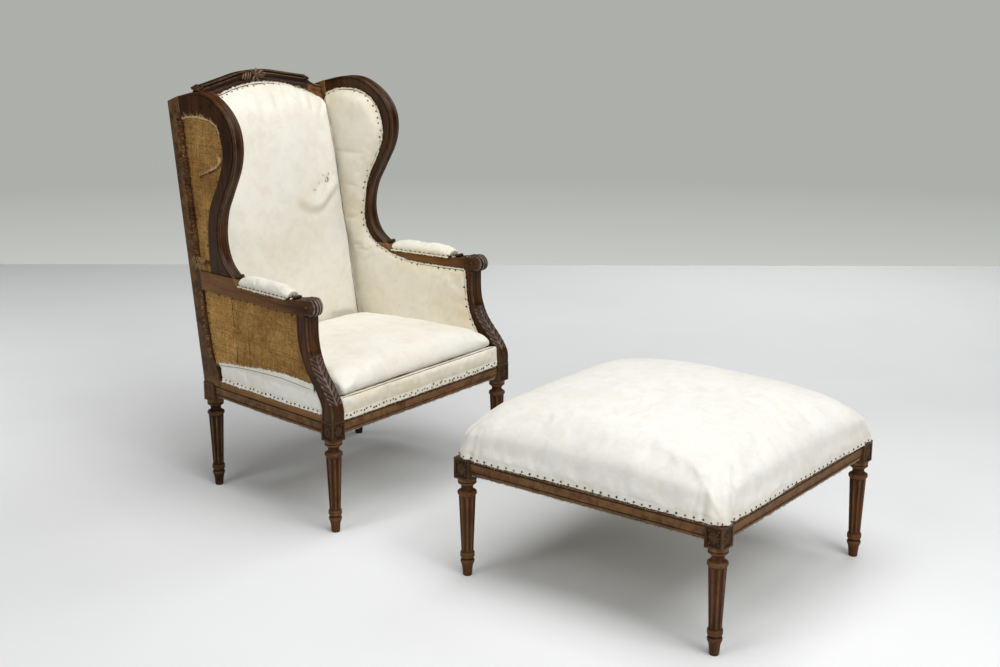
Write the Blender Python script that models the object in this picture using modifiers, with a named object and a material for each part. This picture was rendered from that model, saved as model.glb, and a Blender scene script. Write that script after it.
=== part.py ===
"""Wingback armchair and its square footstool, stripped back to calico and hessian.

The chair is a show-wood frame of turned legs, moulded rails, scrolled arms and
shaped wings, with webbing, springs and stuffed pads fixed inside it. The stool
has four of the same legs, four rails and a deep domed pad. The chair faces -Y,
left is -X, and the origin is on the floor in the middle of the pair.
"""

import math

import bmesh
import bpy
from mathutils import Matrix, Vector

# Fits
CLEAR = 0.0003             # between two pieces that touch
SINK = 0.006               # how far joined shapes of one piece run into each other

# Seat frame and legs
FRONT_LEG_SPACING = 0.6666  # between the axes of the front legs
REAR_LEG_SPACING = 0.5634   # between the axes of the rear legs
LEG_DEPTH_SPACING = 0.4903  # from the front axes back to the rear axes
LEG_HEIGHT = 0.245          # floor to the underside of the corner block
LEG_DIAMETER = 0.046        # the leg's widest ring
FLUTE_DEPTH = 0.0022
BLOCK_WIDTH = 0.045
BLOCK_HEIGHT = 0.052
BLOCK_EDGE = 0.0012         # worn edge of the corner blocks
PANEL_MARGIN = 0.0075       # plain border round the sunk panel of a block
PANEL_DEPTH = 0.0018
RAIL_HEIGHT = 0.037
RAIL_THICKNESS = 0.036
RAIL_SETBACK = 0.004        # rail face behind the block face
BRACE_HEIGHT = 0.030
BRACE_NEAR = 0.035          # along each rail, from the inner corner to the brace
BRACE_FAR = 0.085

# Arms
ARM_HEIGHT = 0.553          # floor to the underside of the arm
ARM_WIDTH = 0.045
ARM_THICKNESS = 0.032
ARM_REACH = 0.060           # the scroll's tip in front of the middle of its support
SCROLL_DIAMETER = 0.050
SCROLL_TAIL = 0.084         # from the scroll's middle back to the arm's flat
HEEL_THICKNESS = 0.050      # the arm's rear end, which carries the wing
HEEL_LIP = 0.004            # heel in front of the wing's foot
HEEL_FALL = 0.012
SUPPORT_WIDTH = 0.042
SUPPORT_DEPTH = 0.043
SUPPORT_SETBACK = 0.088     # how far the support's top sits behind its leg

# Back posts, wings and crest
BACK_HEIGHT = 1.046         # floor to the rear corner of the post's head
BACK_RAKE_ANGLE = math.radians(7.9)
POST_WIDTH = 0.040
POST_DEPTH = 0.049
POST_FOOT_DEPTH = 0.070
POST_FLARE_HEIGHT = 0.175   # over this height the foot narrows to the post
WING_REACH = 0.217          # the wing's front in front of its post
WING_THICKNESS = 0.036
CREST_THICKNESS = 0.036
CREST_RISE = 0.056          # the crest's middle above the posts' rear corners
CREST_DEPTH = 0.070         # the crest's height at its middle
BOTTOM_RAIL_HEIGHT = 0.032
UPRIGHT_DEPTH = 0.030
UPRIGHT_SETBACK = 0.352     # the stuffing upright's front behind the front legs
STUFFING_RAIL_HEIGHT = 0.022
STUFFING_RAIL_WIDTH = 0.024

# Upholstery of the chair
WEB_THICKNESS = 0.002
WEB_WIDTH = 0.050
WEB_LAP = 0.012             # how far the webbing lies on a rail
CLOTH_THICKNESS = 0.0014
CLOTH_RECESS = 0.004        # hessian behind the outer faces of the frame
SEAT_EDGE_HEIGHT = 0.070    # the stuffed edge above the rails, at the sides
FRONT_ROLL_HEIGHT = 0.064
FRONT_ROLL_DEPTH = 0.034
FRONT_ROLL_PROUD = 0.020    # the roll's face in front of the leg axes
SIDE_ROLL_PROUD = 0.016
SPRING_HEIGHT = 0.0835
SPRING_DIAMETER = 0.085
SPRING_WAIST = 0.060
SPRING_WIRE = 0.0038
SEAT_PAD_EDGE = 0.019       # seat pad at its edges
SEAT_PAD_CROWN = 0.062
BACK_PAD_THICKNESS = 0.034
BACK_PAD_CROWN = 0.024
BACK_PAD_DROP = 0.060       # the pad's top corners below its top middle
BACK_PAD_TACK_MARGIN = 0.038
SIDE_PAD_THICKNESS = 0.018
SIDE_PAD_LAP = 0.012        # how far the side pad climbs the arm's inner face
SIDE_PAD_ROUND = 0.006
ARM_PAD_HEIGHT = 0.033
ARM_PAD_OVERHANG = 0.002
ARM_PAD_END_GAP = 0.010

# Footstool
STOOL_WIDTH_SPACING = 0.672  # between the axes of its legs, side to side
STOOL_DEPTH_SPACING = 0.672
STOOL_DISTANCE = 0.433       # from the chair's front leg axes to the stool's rear ones
STOOL_PAD_SIDE = 0.048       # stool pad at its edges
STOOL_PAD_CROWN = 0.103
STOOL_PAD_INSET = 0.001      # the pad's sides inside the block faces

# Counts
LEG_SIDES = 16
STRAPS = 3
SPRING_TURNS = 4
SPRING_POINTS_PER_TURN = 10
CURVE_STEPS = 4
FLARE_STEPS = 5

# Turned leg: shares of half the leg's diameter and of its height, top to bottom
LEG_PROFILE_SHARES = (
    (0.96, 0.955), (0.88, 0.940), (0.62, 0.912), (0.62, 0.897), (0.96, 0.870),
    (1.00, 0.853), (0.96, 0.838), (0.84, 0.828), (0.84, 0.812), (0.58, 0.256),
    (0.58, 0.246), (0.74, 0.232), (0.74, 0.200), (0.54, 0.180), (0.70, 0.155),
    (0.66, 0.125), (0.47, 0.0),
)
FLUTE_ROW_SHARES = (0.812, 0.256)

# Arm support: height share, setback share and depth share, bottom to top
SUPPORT_SHAPE_SHARES = (
    (0.00, 0.00, 1.00), (0.13, 0.00, 0.92), (0.27, 0.22, 0.86), (0.46, 0.66, 0.86),
    (0.61, 0.87, 0.86), (0.77, 0.98, 0.90), (1.00, 1.00, 0.95),
)

# Wing: shares of its reach and of the height from the arm's heel to the post's head
WING_EDGE_SHARES = (
    (0.00, 1.030), (0.33, 1.063), (0.60, 1.052), (0.85, 0.975), (0.985, 0.870),
    (0.99, 0.749), (0.90, 0.630), (0.71, 0.490), (0.54, 0.360), (0.455, 0.210),
    (0.50, 0.080), (0.662, 0.000),
)
WING_WINDOW_SHARES = (
    (0.212, 0.000), (0.240, 0.194), (0.344, 0.381), (0.588, 0.555), (0.740, 0.700),
    (0.744, 0.810), (0.660, 0.890), (0.450, 0.920), (0.200, 0.920), (0.000, 0.900),
)
WING_PAD_SHARES = (
    (0.000, 0.930), (0.130, 0.966), (0.380, 0.982), (0.630, 0.959), (0.790, 0.890),
    (0.860, 0.772), (0.835, 0.682), (0.700, 0.550), (0.533, 0.427), (0.428, 0.284),
    (0.420, 0.160), (0.470, 0.070), (0.600, 0.000),
)

# Crest: shares of its half width, and of its rise above the post (top) or its depth
CREST_TOP_SHARES = (
    (0.00, 1.00), (0.18, 0.98), (0.45, 0.80), (0.68, 0.54), (0.77, 0.48),
    (0.84, 0.24), (0.92, 0.02), (1.00, -0.08),
)
CREST_FOOT_SHARES = ((1.00, 1.66), (0.60, 1.30), (0.00, 1.00))

# Moulded rail: shares of its thickness (outwards) and of its height, outer face
RAIL_FACE_SHARES = (
    (0.90, 1.00), (1.00, 0.93), (1.00, 0.80), (0.92, 0.76), (0.92, 0.70),
    (0.97, 0.62), (0.97, 0.30), (0.90, 0.22), (0.90, 0.12), (0.84, 0.00),
)
SPRING_PLACE_SHARES = (-0.60, 0.60)
STRAP_PLACE_SHARES = (-0.60, 0.0, 0.60)

# Sizes that follow from the driving ones
BLOCK_TOP = LEG_HEIGHT + BLOCK_HEIGHT
RAIL_BOTTOM = BLOCK_TOP - RAIL_HEIGHT
RAIL_FACE = BLOCK_WIDTH / 2 - RAIL_SETBACK
RAIL_INNER = RAIL_THICKNESS - RAIL_FACE
SPLAY = (FRONT_LEG_SPACING - REAR_LEG_SPACING) / 2 / LEG_DEPTH_SPACING
RAKE = math.tan(BACK_RAKE_ANGLE)
ARM_TOP = ARM_HEIGHT + ARM_THICKNESS
HEEL_TOP = ARM_HEIGHT + HEEL_THICKNESS
SCROLL_Y = SUPPORT_SETBACK - ARM_REACH + SCROLL_DIAMETER / 2
SEAT_EDGE_TOP = BLOCK_TOP + SEAT_EDGE_HEIGHT
SIDE_PAD_FACE = ARM_WIDTH / 2 + CLEAR + SIDE_PAD_THICKNESS
WEB_TOP = RAIL_BOTTOM - CLEAR
PAD_BOTTOM = WEB_TOP + SPRING_HEIGHT + 2 * CLEAR
CREST_TOP = BACK_HEIGHT + CREST_RISE

WALNUT = (0.085, 0.036, 0.020)
BEECH = (0.32, 0.20, 0.11)
CALICO = (0.76, 0.70, 0.58)
HESSIAN = (0.36, 0.21, 0.075)
WEBBING = (0.30, 0.24, 0.16)
BLACK_CLOTH = (0.62, 0.58, 0.50)
SPRING_STEEL = (0.32, 0.30, 0.28)


# Frames of reference

def axis_x(y):
    """Half the distance between the two leg-axis lines at depth y."""
    return FRONT_LEG_SPACING / 2 - SPLAY * y


def post_rear(z):
    return LEG_DEPTH_SPACING + BLOCK_WIDTH / 2 + RAKE * (z - BLOCK_TOP)


def flare_share(height_share):
    """How much of the foot's extra depth is left, falling to none in straight steps."""
    step = min(max(height_share, 0), 1) * FLARE_STEPS
    low = min(int(step), FLARE_STEPS - 1)
    at_low, at_high = ((1 - (low + i) / FLARE_STEPS) ** 1.5 for i in (0, 1))
    return at_low + (at_high - at_low) * (step - low)


def post_front(z):
    flare = flare_share((z - BLOCK_TOP) / POST_FLARE_HEIGHT)
    return post_rear(z) - POST_DEPTH - (POST_FOOT_DEPTH - POST_DEPTH) * flare


def post_front_line(low, high):
    """The post's front edge from low to high, with every corner of its foot."""
    corners = rising(BLOCK_TOP, BLOCK_TOP + POST_FLARE_HEIGHT, FLARE_STEPS)
    heights = [low, *(z for z in corners if low < z < high), high]
    return [(post_front(z), z) for z in heights]


def side_matrix():
    """From (outwards, back, up) beside the right front leg to the sloping side."""
    return Matrix(((1, -SPLAY, 0, 0), (0, 1, 0, 0), (0, 0, 1, 0), (0, 0, 0, 1)))


def back_matrix():
    """From (x, behind the rear plane, up the slope) to the raked back."""
    lean = Matrix.Rotation(-BACK_RAKE_ANGLE, 4, "X")
    return Matrix.Translation((0, LEG_DEPTH_SPACING + BLOCK_WIDTH / 2, BLOCK_TOP)) @ lean


def up_slope(z):
    """Distance up the raked back of a point at height z on its rear plane."""
    return (z - BLOCK_TOP) / math.cos(BACK_RAKE_ANGLE)


def smooth_line(points, steps=CURVE_STEPS):
    """A curve through the points, drawn with the given steps between two of them."""
    padded = [points[0], *points, points[-1]]
    line = []
    for before, start, end, after in zip(padded, padded[1:], padded[2:], padded[3:]):
        for step in range(steps):
            t = step / steps
            line.append(tuple(
                0.5 * (2 * b + (c - a) * t + (2 * a - 5 * b + 4 * c - d) * t ** 2
                       + (3 * b - a - 3 * c + d) * t ** 3)
                for a, b, c, d in zip(before, start, end, after)))
    return line + [tuple(points[-1])]


def line_at(line, z):
    """The y of a line of (y, z) points at height z."""
    for (y0, z0), (y1, z1) in zip(line, line[1:]):
        if min(z0, z1) <= z <= max(z0, z1) and z0 != z1:
            return y0 + (y1 - y0) * (z - z0) / (z1 - z0)
    return line[0][0] if abs(z - line[0][1]) < abs(z - line[-1][1]) else line[-1][0]


def line_between(line, low, high):
    """The stretch of a rising (y, z) line between two heights."""
    inside = [point for point in line if low < point[1] < high]
    return [(line_at(line, low), low), *inside, (line_at(line, high), high)]


def moved_back(line, distance):
    return [(y + distance, z) for y, z in line]


def rising(low, high, steps):
    return [low + (high - low) * step / steps for step in range(steps + 1)]


# Making meshes

def evaluated_mesh(maker):
    """The mesh of an object with its modifiers, whose maker is then removed."""
    bpy.context.view_layer.update()
    graph = bpy.context.evaluated_depsgraph_get()
    mesh = bpy.data.meshes.new_from_object(maker.evaluated_get(graph))
    bpy.data.objects.remove(maker)
    return mesh


def temporary(name, data):
    maker = bpy.data.objects.new(name, data)
    bpy.context.scene.collection.objects.link(maker)
    return maker


def tidy_mesh(mesh, merge=1e-6):
    """Weld caps to walls and point the faces outwards."""
    shape = bmesh.new()
    shape.from_mesh(mesh)
    bmesh.ops.remove_doubles(shape, verts=shape.verts, dist=merge)
    bmesh.ops.recalc_face_normals(shape, faces=shape.faces)
    shape.to_mesh(mesh)
    shape.free()
    return mesh


def plate_mesh(rings, low, high, swing):
    """Flat outlines filled, given the thickness from low to high, and swung round."""
    curve = bpy.data.curves.new("outline", "CURVE")
    curve.dimensions = "2D"
    curve.fill_mode = "BOTH"
    curve.extrude = (high - low) / 2
    for ring in rings:
        spline = curve.splines.new("POLY")
        spline.points.add(len(ring) - 1)
        for point, (x, y) in zip(spline.points, ring):
            point.co = (x, y, 0, 1)
        spline.use_cyclic_u = True
    mesh = tidy_mesh(evaluated_mesh(temporary("outline", curve)))
    mesh.transform(swing @ Matrix.Translation((0, 0, (low + high) / 2)))
    return mesh


# An outline in (back, up) given its width outwards, one in (x, up) given its
# depth, and one in (x, back) given its height
ACROSS_SIDE = Matrix(((0, 0, 1, 0), (1, 0, 0, 0), (0, 1, 0, 0), (0, 0, 0, 1)))
ALONG_DEPTH = Matrix.Rotation(math.radians(90), 4, "X")
UPWARDS = Matrix.Identity(4)


def side_plate(ring, half_width, inner=None):
    """A plate in the chair's sloping right side, from inner to half_width outwards."""
    low = -half_width if inner is None else inner
    mesh = plate_mesh([ring], low, half_width, ACROSS_SIDE)
    mesh.transform(side_matrix())
    return mesh


def with_modifier(mesh, kind, **settings):
    maker = temporary("shape", mesh)
    modifier = maker.modifiers.new(kind.title(), kind)
    for key, value in settings.items():
        setattr(modifier, key, value)
    return evaluated_mesh(maker)


def united(mesh, *others):
    """One solid from shapes that run into each other."""
    for other in others:
        helper = temporary("helper", other)
        helper.hide_render = True
        helper.display_type = "WIRE"
        mesh = with_modifier(mesh, "BOOLEAN", operation="UNION", object=helper)
        bpy.data.objects.remove(helper)
    return mesh


def crowded(share):
    return math.sin(share * math.pi / 2)


def cushion_mesh(cuts, place):
    """A cube cage with cuts on each edge, put in place and smoothed once.

    The cuts crowd towards the edges of the top, which keeps its corners full.
    """
    shape = bmesh.new()
    bmesh.ops.create_cube(shape, size=2)
    bmesh.ops.subdivide_edges(shape, edges=shape.edges[:], cuts=cuts, use_grid_fill=True)
    for vertex in shape.verts:
        u, v, w = vertex.co
        vertex.co = Vector(place(crowded(u), crowded(v), w))
    mesh = bpy.data.meshes.new("cushion")
    shape.to_mesh(mesh)
    shape.free()
    return with_modifier(mesh, "SUBSURF", levels=1, render_levels=1)


def lattice_mesh(place, width_share, depth_share):
    """Crossed straps in one flat net. Shares give a strap's half width."""
    def stops(half_share):
        inner = [centre + side * half_share
                 for centre in STRAP_PLACE_SHARES for side in (-1, 1)]
        return [-1.0, *inner, 1.0]

    across, along = stops(width_share), stops(depth_share)
    shape = bmesh.new()
    bmesh.ops.create_grid(shape, x_segments=2 * STRAPS + 1, y_segments=2 * STRAPS + 1, size=1)
    columns = sorted({round(vertex.co.x, 5) for vertex in shape.verts})
    for vertex in shape.verts:
        vertex.co.x = across[columns.index(round(vertex.co.x, 5))]
        vertex.co.y = along[columns.index(round(vertex.co.y, 5))]
    empty = []
    for face in shape.faces:
        middle = face.calc_center_median()
        on_strap = [min(abs(middle.x - c) for c in STRAP_PLACE_SHARES) < width_share,
                    min(abs(middle.y - c) for c in STRAP_PLACE_SHARES) < depth_share]
        if not any(on_strap):
            empty.append(face)
    bmesh.ops.delete(shape, geom=empty, context="FACES")
    for vertex in shape.verts:
        vertex.co = Vector(place(vertex.co.x, vertex.co.y))
    mesh = bpy.data.meshes.new("webbing")
    shape.to_mesh(mesh)
    shape.free()
    return tidy_mesh(with_modifier(mesh, "SOLIDIFY", thickness=WEB_THICKNESS, offset=1))


# Making pieces

def new_material(name, colour, roughness, metallic=0.0):
    material = bpy.data.materials.new(name)
    material.use_nodes = True
    surface = material.node_tree.nodes["Principled BSDF"]
    surface.inputs["Base Color"].default_value = (*colour, 1)
    surface.inputs["Roughness"].default_value = roughness
    surface.inputs["Metallic"].default_value = metallic
    return material


def add_piece(name, mesh, material, parent, location=(0, 0, 0)):
    mesh.name = name
    mesh.materials.clear()
    mesh.materials.append(material)
    piece = bpy.data.objects.new(name, mesh)
    bpy.data.collections["armchair_and_footstool"].objects.link(piece)
    piece.parent = parent
    piece.location = location
    return piece


def add_pair(name, mesh, material, parent, location):
    """A right-hand piece and its mirror image on the left."""
    other = mesh.copy()
    other.transform(Matrix.Scale(-1, 4, (1, 0, 0)))
    other.flip_normals()
    x, y, z = location
    add_piece(name + "_right", mesh, material, parent, (x, y, z))
    add_piece(name + "_left", other, material, parent, (-x, y, z))


# Legs, posts and rails

def turned_leg_mesh():
    """The turned and fluted leg, standing on the floor, its top sunk in the block."""
    top = LEG_HEIGHT + SINK
    radius = LEG_DIAMETER / 2
    profile = [(0, top), (LEG_PROFILE_SHARES[0][0] * radius, top)]
    profile += [(r * radius, z * LEG_HEIGHT) for r, z in LEG_PROFILE_SHARES]
    profile.append((0, 0))
    mesh = bpy.data.meshes.new("leg_profile")
    edges = [(i, i + 1) for i in range(len(profile) - 1)]
    mesh.from_pydata([(x, 0, z) for x, z in profile], edges, [])
    mesh = with_modifier(
        mesh, "SCREW", steps=LEG_SIDES, render_steps=LEG_SIDES,
        use_merge_vertices=True, merge_threshold=1e-5)
    for vertex in mesh.vertices:
        turn = math.atan2(vertex.co.y, vertex.co.x) / (math.tau / LEG_SIDES)
        in_flute = round(turn) % 2 == 1
        on_row = any(abs(vertex.co.z - row * LEG_HEIGHT) < FLUTE_DEPTH / 4
                     for row in FLUTE_ROW_SHARES)
        if in_flute and on_row:
            outwards = vertex.co.xy.length
            vertex.co.xy *= (outwards - FLUTE_DEPTH) / outwards
    return tidy_mesh(mesh)


def block_mesh(panel_faces, splay):
    """A corner block above a leg, with a sunk panel on each face named by its normal."""
    shape = bmesh.new()
    bmesh.ops.create_cube(shape, size=1)
    for vertex in shape.verts:
        vertex.co.x *= BLOCK_WIDTH
        vertex.co.y *= BLOCK_WIDTH
        vertex.co.z = vertex.co.z * BLOCK_HEIGHT + LEG_HEIGHT + BLOCK_HEIGHT / 2
    for normal in panel_faces:
        shape.normal_update()
        faces = [face for face in shape.faces if face.normal.dot(Vector(normal)) > 0.99
                 and face.calc_area() > BLOCK_WIDTH * BLOCK_HEIGHT / 2]
        bmesh.ops.inset_region(shape, faces=faces, thickness=PANEL_MARGIN)
        bmesh.ops.inset_region(shape, faces=faces, thickness=PANEL_DEPTH, depth=-PANEL_DEPTH)
    for vertex in shape.verts:
        vertex.co.x -= splay * vertex.co.y
    mesh = bpy.data.meshes.new("block")
    shape.to_mesh(mesh)
    shape.free()
    return mesh


def post_mesh():
    """The raked stile above the rear block, its foot lapping over the side rail."""
    front_face = -BLOCK_WIDTH / 2
    sunk = BLOCK_TOP - SINK
    above = BLOCK_TOP + CLEAR
    head = wing_point(*WING_EDGE_SHARES[0])[1]
    ring = [(BLOCK_WIDTH / 2 - BLOCK_EDGE, sunk), (front_face + BLOCK_EDGE, sunk),
            (front_face + BLOCK_EDGE, above)]
    ring += moved_back(post_front_line(above, head), -LEG_DEPTH_SPACING)
    ring += [(post_rear(z) - LEG_DEPTH_SPACING, z) for z in (BACK_HEIGHT, BLOCK_TOP)]
    return side_plate(ring, POST_WIDTH / 2)


def rail_ring(back_to_front=False):
    """The moulded rail's section: x outwards from the leg axis line, y up."""
    sign = -1 if back_to_front else 1
    outer = [(sign * (share * RAIL_THICKNESS - RAIL_INNER), RAIL_BOTTOM + height * RAIL_HEIGHT)
             for share, height in RAIL_FACE_SHARES]
    inner = [(-sign * RAIL_INNER, RAIL_BOTTOM), (-sign * RAIL_INNER, BLOCK_TOP)]
    return outer + inner


def cross_rail_mesh(facing, half_length, splay):
    """A rail along X whose moulded face looks to -Y (facing -1) or +Y (facing 1)."""
    mesh = plate_mesh([rail_ring()], -half_length, half_length, ALONG_DEPTH)
    mesh.transform(Matrix.Rotation(math.radians(90) * facing, 4, "Z"))
    for vertex in mesh.vertices:
        vertex.co.x *= (half_length - splay * vertex.co.y) / half_length
    return mesh


def side_rail_mesh(length, splay):
    """A rail along Y whose moulded face looks to +X, starting at a block's face."""
    low = BLOCK_WIDTH / 2 + CLEAR
    mesh = plate_mesh([rail_ring()], low, length - low, ALONG_DEPTH)
    mesh.transform(Matrix.Translation((0, length, 0)))
    mesh.transform(Matrix(((1, -splay, 0, 0), (0, 1, 0, 0), (0, 0, 1, 0), (0, 0, 0, 1))))
    return mesh


def brace_mesh(corner, along_a, along_b):
    """A glue block across an inner corner, with its ends against the two rails."""
    corner, along_a, along_b = Vector(corner), Vector(along_a), Vector(along_b)
    ring = [corner + along_a * BRACE_NEAR, corner + along_a * BRACE_FAR,
            corner + along_b * BRACE_FAR, corner + along_b * BRACE_NEAR]
    ring = [(point.x, point.y) for point in ring]
    return plate_mesh([ring], RAIL_BOTTOM + CLEAR, RAIL_BOTTOM + BRACE_HEIGHT, UPWARDS)


# Arms, supports, wings and crest

def wing_point(reach_share, height_share):
    z = HEEL_TOP + CLEAR + height_share * (BACK_HEIGHT - HEEL_TOP)
    return post_front(z) - CLEAR - reach_share * WING_REACH, z


def support_edges():
    """The front and rear lines of the arm support, bottom to top, as (back, up)."""
    low, high = BLOCK_TOP + CLEAR, ARM_HEIGHT - CLEAR
    middle = smooth_line([(low + height * (high - low), setback * SUPPORT_SETBACK,
                           depth * SUPPORT_DEPTH / 2)
                          for height, setback, depth in SUPPORT_SHAPE_SHARES])
    front = [(y - half, z) for z, y, half in middle]
    rear = [(y + half, z) for z, y, half in middle]
    return front, rear


def arm_support_mesh():
    front, rear = support_edges()
    return side_plate(front + rear[::-1], SUPPORT_WIDTH / 2)


def heel_front():
    return wing_point(*WING_EDGE_SHARES[-1])[0] - HEEL_LIP


def arm_mesh():
    """The arm from its post to the scrolled hand-hold over the support."""
    radius = SCROLL_DIAMETER / 2
    tail = SCROLL_Y + SCROLL_TAIL
    fall = smooth_line([(heel_front(), HEEL_TOP),
                        (heel_front() - HEEL_FALL / 2, (HEEL_TOP + ARM_TOP) / 2),
                        (heel_front() - HEEL_FALL, ARM_TOP)], 3)
    ramp = smooth_line([(tail, ARM_TOP), (tail - SCROLL_TAIL / 3, ARM_TOP + radius / 4),
                        (SCROLL_Y, ARM_HEIGHT + 2 * radius)], 3)
    angles = rising(math.radians(90), math.radians(270), 8)[1:]
    scroll = [(SCROLL_Y + radius * math.cos(a), ARM_HEIGHT + radius + radius * math.sin(a))
              for a in angles]
    ring = [(post_front(ARM_HEIGHT) - CLEAR, ARM_HEIGHT), (post_front(HEEL_TOP) - CLEAR, HEEL_TOP)]
    return side_plate(ring + fall + ramp + scroll, ARM_WIDTH / 2)


def wing_frame_mesh():
    edge = smooth_line([wing_point(*share) for share in WING_EDGE_SHARES])
    window = smooth_line([wing_point(*share) for share in WING_WINDOW_SHARES])
    return side_plate(edge + window, WING_THICKNESS / 2)


def crest_mesh():
    """The carved crest between the posts, in the raked plane of the back."""
    half = 1.0
    head = up_slope(BACK_HEIGHT)
    rise = up_slope(CREST_TOP) - head
    top = smooth_line([(x * half, head + share * rise) for x, share in CREST_TOP_SHARES], 3)
    foot = smooth_line([(x * half, head + rise - share * CREST_DEPTH)
                        for x, share in CREST_FOOT_SHARES], 3)
    right = top + foot
    ring = right + [(-x, z) for x, z in reversed(right) if x > 0]
    return between_posts(plate_mesh([ring], 0, CREST_THICKNESS, ALONG_DEPTH))


def between_posts(mesh, inset=None):
    """Lean a piece whose x runs from -1 to 1 and spread it from post to post."""
    inset = POST_WIDTH / 2 + CLEAR if inset is None else inset
    mesh.transform(back_matrix())
    for vertex in mesh.vertices:
        vertex.co.x *= axis_x(vertex.co.y) - inset
    return mesh


def bottom_rail_mesh():
    low = up_slope(SEAT_EDGE_TOP + CLEAR)
    ring = [(-1, low), (1, low), (1, low + BOTTOM_RAIL_HEIGHT), (-1, low + BOTTOM_RAIL_HEIGHT)]
    return between_posts(plate_mesh([ring], 0, CREST_THICKNESS, ALONG_DEPTH))


def panel_ring(low, high):
    """The outline of what fills the side between the arm support and the post."""
    front = moved_back(line_between(support_edges()[1], low, high), CLEAR)
    rear = moved_back(post_front_line(low, high), -CLEAR)
    return front[::-1] + rear


def stuffing_rail_mesh():
    """The rail that the inside arm cover is tacked to, just above the stuffed edge."""
    ring = panel_ring(SEAT_EDGE_TOP + CLEAR, SEAT_EDGE_TOP + STUFFING_RAIL_HEIGHT)
    return side_plate(ring, cloth_inner() - CLEAR, cloth_inner() - STUFFING_RAIL_WIDTH)


def upright_mesh():
    low, high = SEAT_EDGE_TOP + STUFFING_RAIL_HEIGHT + CLEAR, ARM_HEIGHT - CLEAR
    ring = [(UPRIGHT_SETBACK, low), (UPRIGHT_SETBACK + UPRIGHT_DEPTH, low),
            (UPRIGHT_SETBACK + UPRIGHT_DEPTH, high), (UPRIGHT_SETBACK, high)]
    return side_plate(ring, cloth_inner() - CLEAR, cloth_inner() - STUFFING_RAIL_WIDTH)


# Upholstery

def cloth_inner():
    """How far out the inner face of the outside hessian lies from the axis line."""
    return WING_THICKNESS / 2 - CLOTH_RECESS


def arm_hessian_mesh():
    ring = panel_ring(SEAT_EDGE_TOP + CLEAR, ARM_HEIGHT - CLEAR)
    return side_plate(ring, cloth_inner() + CLOTH_THICKNESS, cloth_inner())


def wing_hessian_mesh():
    """Hessian in the wing's window, a clearance inside its edge and the post."""
    window = smooth_line([wing_point(*share) for share in WING_WINDOW_SHARES])
    ring = []
    for (y0, z0), (y, z), (y1, z1) in zip(window, window[1:], window[2:]):
        inwards = Vector((z1 - z0, y0 - y1)).normalized() * 2 * CLEAR
        ring.append((y + inwards.x, z + inwards.y))
    foot_y, foot_z = window[0]
    foot_z += CLEAR
    head_z = window[-1][1] - 2 * CLEAR
    ring += [(post_front(head_z) - CLEAR, head_z), (post_front(foot_z) - CLEAR, foot_z),
             (foot_y + 2 * CLEAR, foot_z)]
    return side_plate(ring, cloth_inner() + CLOTH_THICKNESS, cloth_inner())


def side_pad_mesh():
    """The stuffed lining of one wing and arm, inside the frame."""
    low = SEAT_EDGE_TOP + CLEAR
    front_line = support_edges()[1]
    lap = ARM_HEIGHT + SIDE_PAD_LAP
    wing = smooth_line([wing_point(*share) for share in WING_PAD_SHARES], 3)
    ring = line_between(front_line, low, ARM_HEIGHT - CLEAR)
    ring += [(ring[-1][0], lap), (heel_front() - HEEL_FALL, lap),
             (heel_front(), ARM_TOP)]
    ring += wing[::-1]
    ring += moved_back(post_front_line(low, wing[0][1])[:-1], -CLEAR)[::-1]
    curve = plate_mesh([ring], 0, SIDE_PAD_THICKNESS, ACROSS_SIDE)
    rounded = with_modifier(curve, "BEVEL", width=SIDE_PAD_ROUND, segments=2,
                            limit_method="ANGLE", angle_limit=math.radians(60),
                            use_clamp_overlap=True)
    rounded.transform(side_matrix() @ Matrix.Translation((-SIDE_PAD_FACE, 0, 0)))
    return rounded


def arm_pad_mesh():
    start = SCROLL_Y + SCROLL_TAIL + ARM_PAD_END_GAP / 4
    end = heel_front() - HEEL_FALL - ARM_PAD_END_GAP / 4
    half_width = ARM_WIDTH / 2 + ARM_PAD_OVERHANG

    def place(u, v, w):
        crown = (1 - 0.55 * u ** 2) * (1 - 0.45 * v ** 4)
        z = ARM_TOP + CLEAR + (w + 1) / 2 * ARM_PAD_HEIGHT * crown
        return u * half_width, (start + end) / 2 + v * (end - start) / 2, z

    mesh = cushion_mesh(2, place)
    mesh.transform(side_matrix())
    return mesh


def front_roll_mesh():
    """The stitched front edge of the seat, between the arm supports."""
    low, high = BLOCK_TOP + CLEAR, BLOCK_TOP + FRONT_ROLL_HEIGHT
    front, rear = -FRONT_ROLL_PROUD, FRONT_ROLL_DEPTH - FRONT_ROLL_PROUD
    height = high - low
    face = smooth_line([(front + FRONT_ROLL_PROUD / 5, low), (front, low + height / 3),
                        (front, low + height * 2 / 3), (front + FRONT_ROLL_DEPTH / 6, high - height / 9),
                        (front + FRONT_ROLL_DEPTH / 2, high), (rear, high - height / 12)], 3)
    ring = face + [(rear, low)]
    mesh = plate_mesh([ring], -1, 1, ACROSS_SIDE)
    for vertex in mesh.vertices:
        vertex.co.x *= axis_x(vertex.co.y) - SUPPORT_WIDTH / 2 - CLEAR
    return mesh


def side_roll_mesh():
    """The stuffed edge under the stuffing rail, seen outside below the hessian."""
    low, high = BLOCK_TOP + CLEAR, SEAT_EDGE_TOP
    height = high - low
    start = max(y for y, z in support_edges()[1] if z < high + height / 4) + CLEAR
    end = post_front(BLOCK_TOP + CLEAR) - CLEAR
    outer = smooth_line([(SIDE_ROLL_PROUD * 0.9, low), (SIDE_ROLL_PROUD, low + height / 3),
                         (SIDE_ROLL_PROUD, low + height * 2 / 3), (SIDE_ROLL_PROUD * 0.6, high)], 3)
    ring = outer + [(-SIDE_PAD_FACE, high), (-SIDE_PAD_FACE, low)]
    mesh = plate_mesh([ring], -end, -start, ALONG_DEPTH)
    mesh.transform(side_matrix())
    return mesh


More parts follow.
